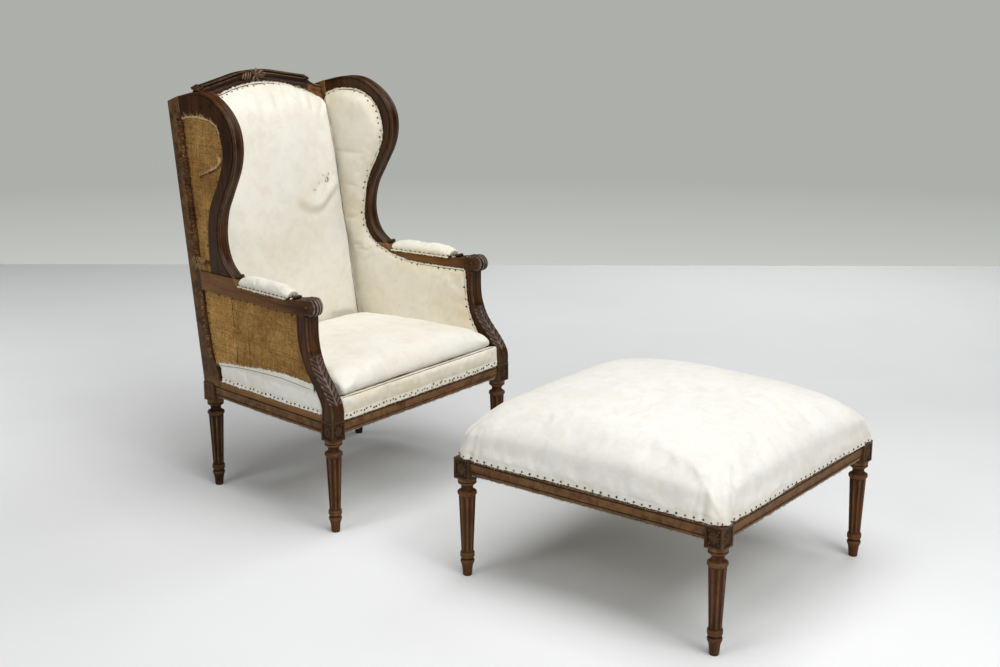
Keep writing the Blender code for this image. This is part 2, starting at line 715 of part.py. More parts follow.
def seat_pad_mesh():
    front = FRONT_ROLL_DEPTH - FRONT_ROLL_PROUD + CLEAR
    rear = post_rear(PAD_BOTTOM) - CREST_THICKNESS - WEB_THICKNESS - BACK_PAD_THICKNESS - 4 * CLEAR

    def place(u, v, w):
        y = (front + rear) / 2 + v * (rear - front) / 2
        crown = SEAT_PAD_CROWN * ((1 - abs(u) ** 2.5) * (1 - abs(v) ** 2.5)) ** 0.6
        z = PAD_BOTTOM + (w + 1) / 2 * (SEAT_PAD_EDGE + crown)
        return u * (axis_x(y) - SIDE_PAD_FACE - CLEAR), y, z

    return cushion_mesh(3, place)


def back_pad_mesh():
    """The stuffed back, crowned in the middle, its top following the crest."""
    behind = CREST_THICKNESS + WEB_THICKNESS + 2 * CLEAR
    foot = up_slope(SEAT_EDGE_TOP)
    head = up_slope(CREST_TOP - BACK_PAD_TACK_MARGIN)

    def place(u, v, w):
        top = head - BACK_PAD_DROP * abs(u) ** 2
        crown = BACK_PAD_CROWN * (1 - u ** 4) * (1 - v ** 4)
        depth = behind + (w + 1) / 2 * (BACK_PAD_THICKNESS + crown)
        return u, -depth, foot + (v + 1) / 2 * (top - foot)

    return between_posts(cushion_mesh(3, place), SIDE_PAD_FACE + CLEAR)


def back_webbing_mesh():
    """Straps tacked to the fronts of the crest and the bottom rail."""
    low = up_slope(SEAT_EDGE_TOP + CLEAR) + BOTTOM_RAIL_HEIGHT - WEB_LAP
    high = up_slope(CREST_TOP) - CREST_DEPTH * CREST_FOOT_SHARES[-1][1] + WEB_LAP
    front = CREST_THICKNESS + CLEAR
    half_width = axis_x(post_rear(BACK_HEIGHT)) - SIDE_PAD_FACE

    def place(u, v):
        return u, -front, low + (v + 1) / 2 * (high - low)

    mesh = lattice_mesh(place, WEB_WIDTH / 2 / half_width, WEB_WIDTH / (high - low))
    return between_posts(mesh, SIDE_PAD_FACE + CLEAR)


def back_hessian_mesh():
    """The outside back, set against the crest and bottom rail inside the posts."""
    low = up_slope(SEAT_EDGE_TOP + CLEAR)
    high = up_slope(CREST_TOP) - CREST_DEPTH * CREST_FOOT_SHARES[-1][1] + WEB_LAP
    ring = [(-1, low), (1, low), (1, high), (-1, high)]
    mesh = plate_mesh([ring], -CLEAR - CLOTH_THICKNESS, -CLEAR, ALONG_DEPTH)
    return between_posts(mesh)


def seat_plan(v):
    """Depth y at v from -1 on the front rail's lap to 1 on the rear rail's."""
    front, rear = RAIL_INNER - WEB_LAP, LEG_DEPTH_SPACING - RAIL_INNER + WEB_LAP
    return (front + rear) / 2 + v * (rear - front) / 2


def seat_half_width(y):
    return axis_x(y) - RAIL_INNER + WEB_LAP


def seat_webbing_mesh():
    def place(u, v):
        y = seat_plan(v)
        return u * seat_half_width(y), y, WEB_TOP - WEB_THICKNESS

    half_depth = (seat_plan(1) - seat_plan(-1)) / 2
    mesh = lattice_mesh(place, WEB_WIDTH / 2 / seat_half_width(seat_plan(0)),
                        WEB_WIDTH / 2 / half_depth)
    return mesh


def spring_mesh():
    """An hourglass seat spring of round wire, standing on the webbing."""
    height = SPRING_HEIGHT - SPRING_WIRE
    total = SPRING_TURNS * SPRING_POINTS_PER_TURN
    points = []
    for step in range(total + 1):
        share = step / total
        radius = SPRING_WAIST + (SPRING_DIAMETER - SPRING_WAIST) * (2 * share - 1) ** 2
        radius = (radius - SPRING_WIRE) / 2
        angle = math.tau * SPRING_TURNS * share
        z = SPRING_WIRE / 2 + height * share
        points.append(Vector((radius * math.cos(angle), radius * math.sin(angle), z)))
    apart = min((a - b).length for i, a in enumerate(points)
                for b in points[i + SPRING_POINTS_PER_TURN // 2:])
    print(f"spring: least gap between turns {(apart - SPRING_WIRE) * 1000:.1f} mm")
    curve = bpy.data.curves.new("spring", "CURVE")
    curve.dimensions = "3D"
    curve.bevel_depth = SPRING_WIRE / 2
    curve.bevel_resolution = 1
    curve.use_fill_caps = True
    spline = curve.splines.new("POLY")
    spline.points.add(total)
    for point, place in zip(spline.points, points):
        point.co = (*place, 1)
    return tidy_mesh(evaluated_mesh(temporary("spring", curve)))


def dust_cover_mesh(front, rear, top, splay):
    """Cloth under the rails, cut square round the four leg blocks.

    front and rear are the right leg's (x, y) there.
    """
    lap = RAIL_INNER - WEB_LAP
    notch_x, notch_y = BLOCK_WIDTH / 2 * (1 + splay) + CLEAR, BLOCK_WIDTH / 2 + CLEAR
    right = []
    for (x, y), inwards in ((front, 1), (rear, -1)):
        edge_y, inner_y = y + inwards * lap, y + inwards * notch_y
        edge_x = x - lap - splay * (inner_y - y)
        corner = [(x - notch_x, edge_y), (x - notch_x, inner_y), (edge_x, inner_y)]
        right += corner[::inwards]
    ring = right + [(-x, y) for x, y in reversed(right)]
    return plate_mesh([ring], top - CLOTH_THICKNESS, top, UPWARDS)


# The two bodies

def build_chair(chair, wood, plain_wood, calico, hessian, webbing, lining, steel):
    front_x, rear_x = FRONT_LEG_SPACING / 2, REAR_LEG_SPACING / 2
    front_leg = united(block_mesh([(0, -1, 0), (1, 0, 0)], SPLAY), turned_leg_mesh())
    rear_leg = united(block_mesh([(0, 1, 0), (1, 0, 0)], SPLAY), turned_leg_mesh(), post_mesh())
    add_pair("front_leg", front_leg, wood, chair, (front_x, 0, 0))
    add_pair("back_post", rear_leg, wood, chair, (rear_x, LEG_DEPTH_SPACING, 0))

    rail_inset = BLOCK_WIDTH / 2 + CLEAR
    add_piece("front_rail", cross_rail_mesh(-1, front_x - rail_inset, SPLAY), wood, chair)
    add_piece("rear_rail", cross_rail_mesh(1, rear_x - rail_inset, SPLAY), wood, chair,
              (0, LEG_DEPTH_SPACING, 0))
    add_pair("side_rail", side_rail_mesh(LEG_DEPTH_SPACING, SPLAY), wood, chair, (front_x, 0, 0))
    add_pair("arm_support", arm_support_mesh(), wood, chair, (front_x, 0, 0))
    add_pair("arm", arm_mesh(), wood, chair, (front_x, 0, 0))
    add_pair("wing_frame", wing_frame_mesh(), wood, chair, (front_x, 0, 0))
    add_piece("crest_rail", crest_mesh(), wood, chair)
    add_piece("back_bottom_rail", bottom_rail_mesh(), plain_wood, chair)
    add_pair("side_stuffing_rail", stuffing_rail_mesh(), plain_wood, chair, (front_x, 0, 0))
    add_pair("side_upright", upright_mesh(), plain_wood, chair, (front_x, 0, 0))

    inner = RAIL_INNER + CLEAR
    side = Vector((SPLAY, -1)).normalized()
    front_corner = (axis_x(inner) - inner, inner)
    rear_y = LEG_DEPTH_SPACING - inner
    rear_corner = (axis_x(rear_y) - inner, rear_y)
    add_pair("front_brace", brace_mesh(front_corner, -side, (-1, 0)), plain_wood, chair, (0, 0, 0))
    add_pair("rear_brace", brace_mesh(rear_corner, side, (-1, 0)), plain_wood, chair, (0, 0, 0))

    add_piece("seat_webbing", seat_webbing_mesh(), webbing, chair)
    for row, depth_share in zip(("front", "rear"), SPRING_PLACE_SHARES):
        y = seat_plan(depth_share)
        x = SPRING_PLACE_SHARES[1] * seat_half_width(y)
        add_pair(row + "_spring", spring_mesh(), steel, chair, (x, y, WEB_TOP + CLEAR))
    add_piece("front_edge_roll", front_roll_mesh(), calico, chair)
    add_pair("side_edge_roll", side_roll_mesh(), calico, chair, (front_x, 0, 0))
    add_piece("seat_pad", seat_pad_mesh(), calico, chair)
    add_piece("back_webbing", back_webbing_mesh(), webbing, chair)
    add_piece("back_pad", back_pad_mesh(), calico, chair)
    add_piece("back_hessian", back_hessian_mesh(), hessian, chair)
    add_pair("side_pad", side_pad_mesh(), calico, chair, (front_x, 0, 0))
    add_pair("arm_rest_pad", arm_pad_mesh(), calico, chair, (front_x, 0, 0))
    add_pair("wing_hessian", wing_hessian_mesh(), hessian, chair, (front_x, 0, 0))
    add_pair("arm_hessian", arm_hessian_mesh(), hessian, chair, (front_x, 0, 0))
    under_webbing = WEB_TOP - WEB_THICKNESS - CLEAR
    cover = dust_cover_mesh((front_x, 0), (rear_x, LEG_DEPTH_SPACING), under_webbing, SPLAY)
    add_piece("seat_dust_cover", cover, lining, chair)


def stool_pad_mesh(half_x, half_y):
    low = BLOCK_TOP + WEB_THICKNESS + 2 * CLEAR

    def place(u, v, w):
        crown = STOOL_PAD_CROWN * ((1 - abs(u) ** 2.5) * (1 - abs(v) ** 2.5)) ** 0.38
        drawn_in = 1 - 0.012 * (1 - max(abs(u), abs(v)) ** 2)
        z = low + (w + 1) / 2 * (STOOL_PAD_SIDE + crown)
        return u * half_x * drawn_in, v * half_y * drawn_in, z

    return cushion_mesh(5, place)


def build_stool(stool, wood, plain_wood, calico, webbing, lining):
    half_x, half_y = STOOL_WIDTH_SPACING / 2, STOOL_DEPTH_SPACING / 2
    for row, sign in (("front", -1), ("rear", 1)):
        leg = united(block_mesh([(0, sign, 0), (1, 0, 0)], 0), turned_leg_mesh())
        add_pair(f"stool_{row}_leg", leg, wood, stool, (half_x, sign * half_y, 0))
        rail = cross_rail_mesh(sign, half_x - BLOCK_WIDTH / 2 - CLEAR, 0)
        add_piece(f"stool_{row}_rail", rail, wood, stool, (0, sign * half_y, 0))
        corner = (half_x - RAIL_INNER - CLEAR, sign * (half_y - RAIL_INNER - CLEAR))
        brace = brace_mesh(corner, (-1, 0), (0, -sign))
        add_pair(f"stool_{row}_brace", brace, plain_wood, stool, (0, 0, 0))
    side_rail = side_rail_mesh(STOOL_DEPTH_SPACING, 0)
    add_pair("stool_side_rail", side_rail, wood, stool, (half_x, -half_y, 0))

    lap_x, lap_y = half_x - RAIL_INNER + WEB_LAP, half_y - RAIL_INNER + WEB_LAP

    def place(u, v):
        return u * lap_x, v * lap_y, BLOCK_TOP + CLEAR

    net = lattice_mesh(place, WEB_WIDTH / 2 / lap_x, WEB_WIDTH / 2 / lap_y)
    add_piece("stool_webbing", net, webbing, stool)
    reach = BLOCK_WIDTH / 2 - STOOL_PAD_INSET
    add_piece("stool_pad", stool_pad_mesh(half_x + reach, half_y + reach), calico, stool)
    cover = dust_cover_mesh((half_x, -half_y), (half_x, half_y), RAIL_BOTTOM - CLEAR, 0)
    add_piece("stool_dust_cover", cover, lining, stool)


def main():
    for old in list(bpy.data.objects):
        bpy.data.objects.remove(old)
    parts = bpy.data.collections.new("armchair_and_footstool")
    bpy.context.scene.collection.children.link(parts)

    rear_reach = post_rear(CREST_TOP)
    front_reach = STOOL_DISTANCE + STOOL_DEPTH_SPACING + BLOCK_WIDTH / 2
    chair_y = (front_reach - rear_reach) / 2
    chair = bpy.data.objects.new("chair", None)
    stool = bpy.data.objects.new("footstool", None)
    parts.objects.link(chair)
    parts.objects.link(stool)
    chair.location.y = chair_y
    stool.location.y = chair_y - STOOL_DISTANCE - STOOL_DEPTH_SPACING / 2

    wood = new_material("walnut_frame", WALNUT, 0.42)
    plain_wood = new_material("beech_inside", BEECH, 0.7)
    calico = new_material("calico", CALICO, 0.9)
    hessian = new_material("hessian", HESSIAN, 0.95)
    webbing = new_material("jute_webbing", WEBBING, 0.9)
    lining = new_material("bottoming_cloth", BLACK_CLOTH, 0.9)
    steel = new_material("spring_steel", SPRING_STEEL, 0.4, 1.0)
    build_chair(chair, wood, plain_wood, calico, hessian, webbing, lining, steel)
    build_stool(stool, wood, plain_wood, calico, webbing, lining)
    print(f"chair's front leg axes at y {chair_y:.4f} m, stool's middle at {stool.location.y:.4f} m")


main()
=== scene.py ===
# %% [markdown]
# # A wing chair and its footstool, part way through upholstery
#
# The chair is a show-wood armchair with wings, on turned and fluted legs. It is shown stripped
# back to its calico and hessian, with every tack in sight, and it has a square footstool to
# match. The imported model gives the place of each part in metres. Here each part gets the shape,
# cloth and finish that the real one shows.

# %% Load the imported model
import math
import random

import bmesh
import bpy
from mathutils import Matrix, Vector
from mathutils import noise as fractal
from mathutils.bvhtree import BVHTree
from mathutils.kdtree import KDTree


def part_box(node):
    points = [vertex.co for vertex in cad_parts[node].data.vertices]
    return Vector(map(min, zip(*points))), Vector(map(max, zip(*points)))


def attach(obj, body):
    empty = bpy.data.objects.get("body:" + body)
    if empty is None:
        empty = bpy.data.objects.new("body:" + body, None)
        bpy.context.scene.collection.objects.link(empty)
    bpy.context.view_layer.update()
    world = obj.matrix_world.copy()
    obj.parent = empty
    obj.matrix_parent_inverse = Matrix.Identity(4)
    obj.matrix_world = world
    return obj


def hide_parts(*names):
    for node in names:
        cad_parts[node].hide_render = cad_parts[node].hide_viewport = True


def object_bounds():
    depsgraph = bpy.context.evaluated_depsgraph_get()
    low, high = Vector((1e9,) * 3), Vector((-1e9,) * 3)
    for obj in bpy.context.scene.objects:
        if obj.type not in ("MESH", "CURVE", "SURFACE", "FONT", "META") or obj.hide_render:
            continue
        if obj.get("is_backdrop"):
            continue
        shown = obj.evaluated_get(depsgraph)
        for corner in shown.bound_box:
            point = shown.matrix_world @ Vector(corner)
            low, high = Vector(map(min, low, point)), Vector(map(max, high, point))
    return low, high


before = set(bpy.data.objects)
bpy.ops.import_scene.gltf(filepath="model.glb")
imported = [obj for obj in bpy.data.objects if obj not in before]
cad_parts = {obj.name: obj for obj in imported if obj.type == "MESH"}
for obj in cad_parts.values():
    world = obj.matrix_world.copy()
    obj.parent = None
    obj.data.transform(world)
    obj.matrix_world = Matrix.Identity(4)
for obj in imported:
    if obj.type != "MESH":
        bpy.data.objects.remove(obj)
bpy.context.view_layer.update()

# %% [markdown]
# ## Camera, floor and light
#
# The camera stands where the photographer stood, at about eye height and to the chair's right.
# A lens is matched by its field of view: the focal length in pixels over the picture's width is
# the lens over the sensor's width. The floor is a large pale sheet that ends in a straight line
# at the foot of a plain grey background, and the background is the world's own colour. The floor
# is painted darker towards its far edge, a painted falloff of the light, and the background is
# painted lighter at its foot, a painted shade on the backdrop.

# %% Camera
SENSOR_WIDTH = 36
PICTURE_WIDTH = 1000          # pixels
FOCAL_LENGTH = 1543.4         # pixels
CAMERA_PLACE = Vector((-2.977, -2.3225, 1.5))
HEADING = -math.atan2(0.7907, 0.6122)
TILT_DOWN = 0.2608
ROLL = 0.0021

aim = (Matrix.Rotation(HEADING, 3, "Z") @ Matrix.Rotation(math.pi / 2 - TILT_DOWN, 3, "X")
       @ Matrix.Rotation(ROLL, 3, "Z"))
bpy.ops.object.camera_add(location=CAMERA_PLACE, rotation=aim.to_euler())
camera = bpy.context.object
camera.data.sensor_width = SENSOR_WIDTH
camera.data.lens = FOCAL_LENGTH / PICTURE_WIDTH * SENSOR_WIDTH
bpy.context.scene.camera = camera
print(f"lens {camera.data.lens:.1f} mm")

# %% [markdown]
# Materials are small trees of nodes. A class holds such a tree: it sets a socket, or links it
# where the value comes from another node. The commonest steps have a method each, such as a
# colour ramp, a mix of two colours, a noise, and what a piece's own attribute says.

# %% Trees of nodes
class Shader:
    """The tree of nodes of a material or of the world, built one step at a time."""

    def __init__(self, owner):
        owner.use_nodes = True
        self.owner, self.tree = owner, owner.node_tree

    def put(self, value, socket):
        if isinstance(value, bpy.types.NodeSocket):
            self.tree.links.new(value, socket)
        else:
            socket.default_value = value

    def fill(self, node, sockets):
        """Set or link sockets by their names, which have _ for a space here."""
        for key, value in sockets.items():
            self.put(value, node.inputs[key.replace("_", " ")])
        return node

    def node(self, kind, settings=(), **sockets):
        node = self.tree.nodes.new(kind)
        for key, value in dict(settings).items():
            setattr(node, key, value)
        return self.fill(node, sockets)

    def ramp(self, factor, *stops):
        """Colours (or grey levels) at places from 0 to 1 along the factor."""
        node = self.node("ShaderNodeValToRGB", Fac=factor)
        elements = node.color_ramp.elements
        while len(elements) < len(stops):
            elements.new(0.5)
        for element, (place, colour) in zip(elements, stops):
            element.position = place
            element.color = (*colour, 1) if hasattr(colour, "__len__") else (colour,) * 3 + (1,)
        return node.outputs["Color"]

    def mix(self, factor, first, second, mode="MIX"):
        node = self.node("ShaderNodeMix", {"data_type": "RGBA", "blend_type": mode})
        self.put(factor, node.inputs[0])
        for index, colour in ((6, first), (7, second)):
            plain = not isinstance(colour, bpy.types.NodeSocket)
            self.put((*colour, 1) if plain else colour, node.inputs[index])
        return node.outputs[2]

    def shaded(self, first, second):
        return self.mix(1.0, first, second, "MULTIPLY")

    def maths(self, operation, first, second):
        node = self.node("ShaderNodeMath", {"operation": operation})
        self.put(first, node.inputs[0])
        self.put(second, node.inputs[1])
        return node.outputs[0]

    def times(self, first, second):
        return self.maths("MULTIPLY", first, second)

    def noise(self, vector, scale, detail=3.0, roughness=0.55, distortion=0.0):
        return self.node("ShaderNodeTexNoise", Vector=vector, Scale=scale, Detail=detail,
                         Roughness=roughness, Distortion=distortion).outputs["Fac"]

    def stretched(self, vector, scale):
        return self.node("ShaderNodeMapping", Vector=vector, Scale=scale).outputs[0]

    def bump(self, height, strength, distance, **sockets):
        return self.node("ShaderNodeBump", Height=height, Strength=strength, Distance=distance,
                         **sockets).outputs[0]

    def attribute(self, word):
        return self.node("ShaderNodeAttribute", {"attribute_name": word}).outputs["Fac"]

    def place(self):
        return self.node("ShaderNodeTexCoord").outputs["Object"]

    def surface(self, **sockets):
        """The finished material, with these values on its surface."""
        self.fill(self.tree.nodes["Principled BSDF"], sockets)
        return self.owner


def new_shader(name):
    return Shader(bpy.data.materials.new(name))


# %% Floor
FLOOR_END = 6.82              # from under the camera to the floor's far edge
FLOOR_HALF = 30.0
FLOOR_COLOUR = (0.87, 0.88, 0.88)

bpy.ops.object.select_all(action="DESELECT")
bpy.ops.mesh.primitive_plane_add(size=2 * FLOOR_HALF)
floor = bpy.context.object
floor.name = "floor"
floor.data.transform(Matrix.Translation((CAMERA_PLACE.x, CAMERA_PLACE.y, 0))
                     @ Matrix.Rotation(HEADING, 4, "Z")
                     @ Matrix.Translation((0, FLOOR_END - FLOOR_HALF, 0)))
pale = new_shader("pale_floor")
washed = pale.ramp(pale.noise(pale.place(), 1.3, 4.0),
                   (0.3, [c * 0.96 for c in FLOOR_COLOUR]), (0.7, FLOOR_COLOUR))
# The floor is painted darker towards its far edge: a painted falloff of the light.
away = pale.node("ShaderNodeVectorMath", {"operation": "DOT_PRODUCT"}, Vector=pale.place())
away.inputs[1].default_value = (0.788, 0.616, 0)
painted_falloff = pale.ramp(pale.times(away.outputs["Value"], 0.25), (0.30, 1.0), (0.86, 0.76))
floor.data.materials.append(pale.surface(Base_Color=pale.shaded(washed, painted_falloff), Roughness=0.75))
floor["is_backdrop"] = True
print("floor's far edge", FLOOR_END, "m from under the camera")

# %% Background and lamps
BACKDROP_LOW = (0.62, 0.64, 0.60)
BACKDROP_HIGH = (0.42, 0.43, 0.405)
SKY_LIGHT = 0.012
LAMPS = (   # name, place, what it points at, size, power
    ("overhead_lamp", (-0.1, -0.5, 3.6), (0, 0, 0.2), 3.0, 85),
    ("front_lamp", (-2.0, -3.9, 2.7), (0, -0.2, 0.5), 2.4, 64),
    ("steep_lamp", (-0.4, -3.2, 3.6), (0, -0.3, 0.4), 1.6, 54),
    ("side_lamp", (-3.9, 0.5, 3.0), (0, 0.1, 0.5), 1.9, 43),
    ("right_lamp", (3.2, -0.3, 3.0), (0, 0, 0.4), 1.8, 24),
    ("far_left_lamp", (-1.2, 2.4, 3.0), (0.45, 7.0, 0.2), 2.5, 74),
    ("far_right_lamp", (3.0, 0.6, 3.0), (7.0, 3.5, 0.1), 2.5, 84),
)

world = bpy.data.worlds.new("studio")
bpy.context.scene.world = world
studio = Shader(world)
sky = studio.fill(studio.tree.nodes["Background"],
                  {"Color": (0.97, 0.98, 1.0, 1), "Strength": SKY_LIGHT})
# The background is painted lighter at its foot and darker above it: painted shade on the backdrop.
direction = studio.node("ShaderNodeTexCoord").outputs["Generated"]
height = studio.node("ShaderNodeSeparateXYZ", Vector=direction).outputs["Z"]
shade = studio.ramp(studio.maths("ADD", height, 0.5), (0.27, BACKDROP_LOW), (0.34, BACKDROP_HIGH))
backdrop = studio.node("ShaderNodeBackground", Color=shade, Strength=1.0)
rays = studio.node("ShaderNodeLightPath").outputs
seen = studio.maths("MAXIMUM", rays["Is Camera Ray"], rays["Is Transmission Ray"])
either = studio.node("ShaderNodeMixShader", Fac=seen)
studio.put(sky.outputs[0], either.inputs[1])
studio.put(backdrop.outputs[0], either.inputs[2])
studio.put(either.outputs[0], studio.tree.nodes["World Output"].inputs["Surface"])
for name, place, target, size, power in LAMPS:
    turn = (Vector(target) - Vector(place)).to_track_quat("-Z", "Y").to_euler()
    bpy.ops.object.light_add(type="AREA", location=place, rotation=turn)
    lamp = bpy.context.object
    lamp.name = name
    lamp.data.size = size
    lamp.data.energy = power
    print(name, power, "W")
bpy.context.scene.view_settings.view_transform = "Standard"

# %% [markdown]
# ## The finishes
#
# The show-wood is walnut, darkened by polish and age. Long streaks make the grain, so each
# material is stretched along one direction: up for legs, posts and supports, across for the
# front rails and crest, and back for side rails and arms. Polish wears pale on the edges, where
# the surface is sharp, and the pale edges are also a painted highlight. The corners and hollows
# are painted dark, which is painted shade with some dirt in it.

# %% Walnut
def walnut(name, grain, depth=1.0, gloss=0.0):
    wood = new_shader(name)
    place = wood.place()
    streaks = wood.noise(wood.stretched(place, grain), 1.0, 6.0, 0.65, 0.5)
    patches = wood.noise(place, 6.0, 4.0, 0.6)
    wear = wood.noise(place, 45.0, 5.0, 0.7)
    tone = wood.ramp(streaks, (0.30, (0.030, 0.0105, 0.0035)), (0.52, (0.085, 0.034, 0.0105)),
                     (0.76, (0.155, 0.068, 0.021)))
    cast = wood.ramp(patches, *[(share, [depth * c for c in shade]) for share, shade in (
        (0.32, (0.66, 0.61, 0.56)), (0.52, (0.95, 0.90, 0.85)), (0.72, (1.42, 1.26, 1.02)))])
    tone = wood.shaded(tone, cast)
    raw = wood.ramp(streaks, (0.30, (0.180, 0.078, 0.022)), (0.70, (0.43, 0.215, 0.075)))
    tone = wood.mix(wood.attribute("bare"), tone, raw)
    pointed = wood.node("ShaderNodeNewGeometry").outputs["Pointiness"]
    bend = wood.maths("SUBTRACT", pointed, 0.5)
    uneven = wood.maths("SUBTRACT", 1.0, wood.attribute("even"))
    sharp = wood.maths("ADD", 0.5, wood.times(bend, uneven))
    edges = wood.ramp(sharp, (0.506, 0.0), (0.560, 1.0))
    # The sharp edges are paler: wear of the polish, and a painted highlight.
    worn_and_highlit = wood.times(edges, wood.ramp(wear, (0.36, 0.15), (0.62, 0.85)))
    tone = wood.mix(worn_and_highlit, tone, (0.21, 0.110, 0.046))
    # Stains, and the hollows found by shape and by occlusion, are darkened: the hollows are painted
    # shade, with some dirt in them.
    hollow_shade = wood.node("ShaderNodeAmbientOcclusion", {"samples": 4}, Distance=0.010)
    for shade in (wood.ramp(wood.attribute("stained"), (0.0, 1.0), (1.0, 0.22)),
                  wood.ramp(sharp, (0.43, 0.25), (0.495, 1.0)),
                  wood.ramp(hollow_shade.outputs["AO"], (0.25, 0.13), (0.85, 1.0))):
        tone = wood.shaded(tone, shade)
    # Pale on sharp edges and carved ridges, where an attribute says so: dust, and a painted
    # highlight.
    drift = wood.ramp(wood.noise(place, 75.0, 3.0), (0.38, 0.35), (0.60, 1.0))
    edge_dust_and_highlight = wood.times(wood.times(edges, wood.attribute("dusty")), drift)
    tone = wood.mix(edge_dust_and_highlight, tone, (0.46, 0.37, 0.32))
    tone = wood.mix(wood.times(wood.attribute("ridge"), drift), tone, (0.50, 0.40, 0.35))
    scuffs = wood.ramp(wood.noise(place, 90.0, 2.0), (0.76, 0.0), (0.82, 0.16))
    tone = wood.mix(scuffs, tone, (0.36, 0.27, 0.18))
    return wood.surface(
        Base_Color=tone, Roughness=wood.ramp(wear, (0.3, 0.38 - gloss), (0.7, 0.58 - gloss)),
        Specular_IOR_Level=0.13 + gloss * 0.4, Normal=wood.bump(streaks, 0.10, 0.002))


def marked(piece, word, share):
    """Write a share from 0 to 1 at every point of a piece, which its material reads."""
    marks = piece.data.attributes.new(word, "FLOAT", "POINT")
    for vertex, mark in zip(piece.data.vertices, marks.data):
        mark.value = min(1, max(0, share(vertex.co)))


# The darker copies, for the posts, wings, crest and carving, are set to how dark these pieces look:
# partly the wood's own tone, partly painted shade.
walnut_upright = walnut("walnut_upright", (85, 85, 5), 0.95)
walnut_post = walnut("walnut_post", (85, 85, 5), 0.39)
walnut_across = walnut("walnut_across", (5, 85, 85), 0.90)
walnut_back = walnut("walnut_back", (85, 5, 85), 0.90)
walnut_wing = walnut("walnut_wing", (85, 85, 5), 0.60, gloss=0.14)
walnut_crest = walnut("walnut_crest", (5, 85, 85), 0.27, gloss=0.12)
walnut_carved = walnut("walnut_carved", (85, 85, 5), 0.70, gloss=0.06)
print("walnut with the grain up, across and back, and dusty on the carving")

# %% [markdown]
# Calico is a plain cotton, woven too finely to see at arm's length. What shows is its soft
# cream, its handling marks and the stains of old stuffing. Each piece of calico carries an
# attribute named soil, from 0 where the cloth is clean to 1 where it is yellowest, and the
# stains follow it. On the footstool's dome the soil is raised in the valleys of the corner
# folds as well, which is painted shade.

# %% Calico
THREAD = 0.0007               # between two threads of calico


def woven(cloth, place, pitch, axes, distortion):
    """Height of threads that run along the given axes, from 0 to 1."""
    height = None
    for axis in axes:
        bands = cloth.node("ShaderNodeTexWave", {"wave_type": "BANDS", "bands_direction": axis},
                           Vector=place, Scale=math.tau / 20 / pitch, Distortion=distortion,
                           Detail=2.0, Detail_Scale=0.3).outputs["Fac"]
        height = bands if height is None else cloth.maths("ADD", height, bands)
    return height


def calico(name, clean, stained):
    cloth = new_shader(name)
    place = cloth.place()
    blotches = cloth.ramp(cloth.noise(place, 7.0, 5.0, 0.6, 0.8), (0.30, 0.25), (0.65, 1.0))
    tone = cloth.mix(cloth.times(cloth.attribute("soil"), blotches), clean, stained)
    tone = cloth.mix(cloth.attribute("washed"), tone, (0.54, 0.57, 0.555))
    streaky = cloth.ramp(cloth.noise(place, 26.0, 6.0, 0.7, 0.6),
                         (0.32, (0.93, 0.915, 0.88)), (0.55, (1.0, 1.0, 1.0)))
    specks = cloth.ramp(cloth.noise(place, 160.0, 2.0), (0.77, 0.0), (0.82, 0.35))
    tone = cloth.mix(specks, cloth.shaded(tone, streaky), (0.50, 0.42, 0.30))
    fine = cloth.bump(woven(cloth, place, THREAD, "XYZ", 1.0), 0.18, 0.0002)
    lumps = cloth.bump(cloth.noise(place, 18.0, 5.0), 0.25, 0.004, Normal=fine)
    return cloth.surface(Base_Color=tone, Roughness=0.9, Specular_IOR_Level=0.2,
                         Sheen_Weight=0.15, Normal=lumps)


calico_cream = calico("calico_cream", (0.82, 0.80, 0.725), (0.67, 0.58, 0.39))
calico_white = calico("calico_white", (0.82, 0.808, 0.76), (0.70, 0.635, 0.50))
calico_border = calico("calico_border", (0.90, 0.90, 0.84), (0.80, 0.73, 0.56))
print("three calicos, with threads", THREAD * 1000, "mm apart")

# %% [markdown]
# Hessian is a coarse open weave of jute. Its threads are about two millimetres apart and
# uneven, so the weave shows from across a room, and it is painted darker between the threads,
# which is painted shade in the gaps of the weave.

# %% Hessian, lining and webbing
def jute(name, axes, pitch, dark, light):
    cloth = new_shader(name)
    place = cloth.place()
    threads = woven(cloth, place, pitch, axes, 2.2)
    slubs = cloth.noise(place, 240.0, 3.0, 0.7)
    for axis in axes:
        runs = cloth.stretched(place, [900 if letter == axis else 14 for letter in "XYZ"])
        slubs = cloth.times(slubs, cloth.ramp(cloth.noise(runs, 0.42, 2.0, 0.6),
                                              (0.30, 0.68), (0.70, 1.30)))
    tone = cloth.ramp(cloth.noise(place, 11.0, 5.0, 0.6, 0.7), (0.30, dark), (0.68, light))
    tone = cloth.mix(cloth.attribute("faded"), tone, [min(1, 1.35 * c) for c in light])
    # The second darkening, between the threads, is painted shade in the gaps of the weave.
    for shade in (cloth.ramp(cloth.noise(place, 95.0, 4.0, 0.7), (0.33, 0.62), (0.55, 1.05)),
                  cloth.ramp(cloth.times(threads, 0.5), (0.10, 0.48), (0.60, 1.0)),
                  cloth.ramp(slubs, (0.22, 0.60), (0.75, 1.40))):
        tone = cloth.shaded(tone, shade)
    return cloth.surface(Base_Color=tone, Roughness=0.95, Specular_IOR_Level=0.15,
                         Normal=cloth.bump(threads, 0.7, 0.0008))


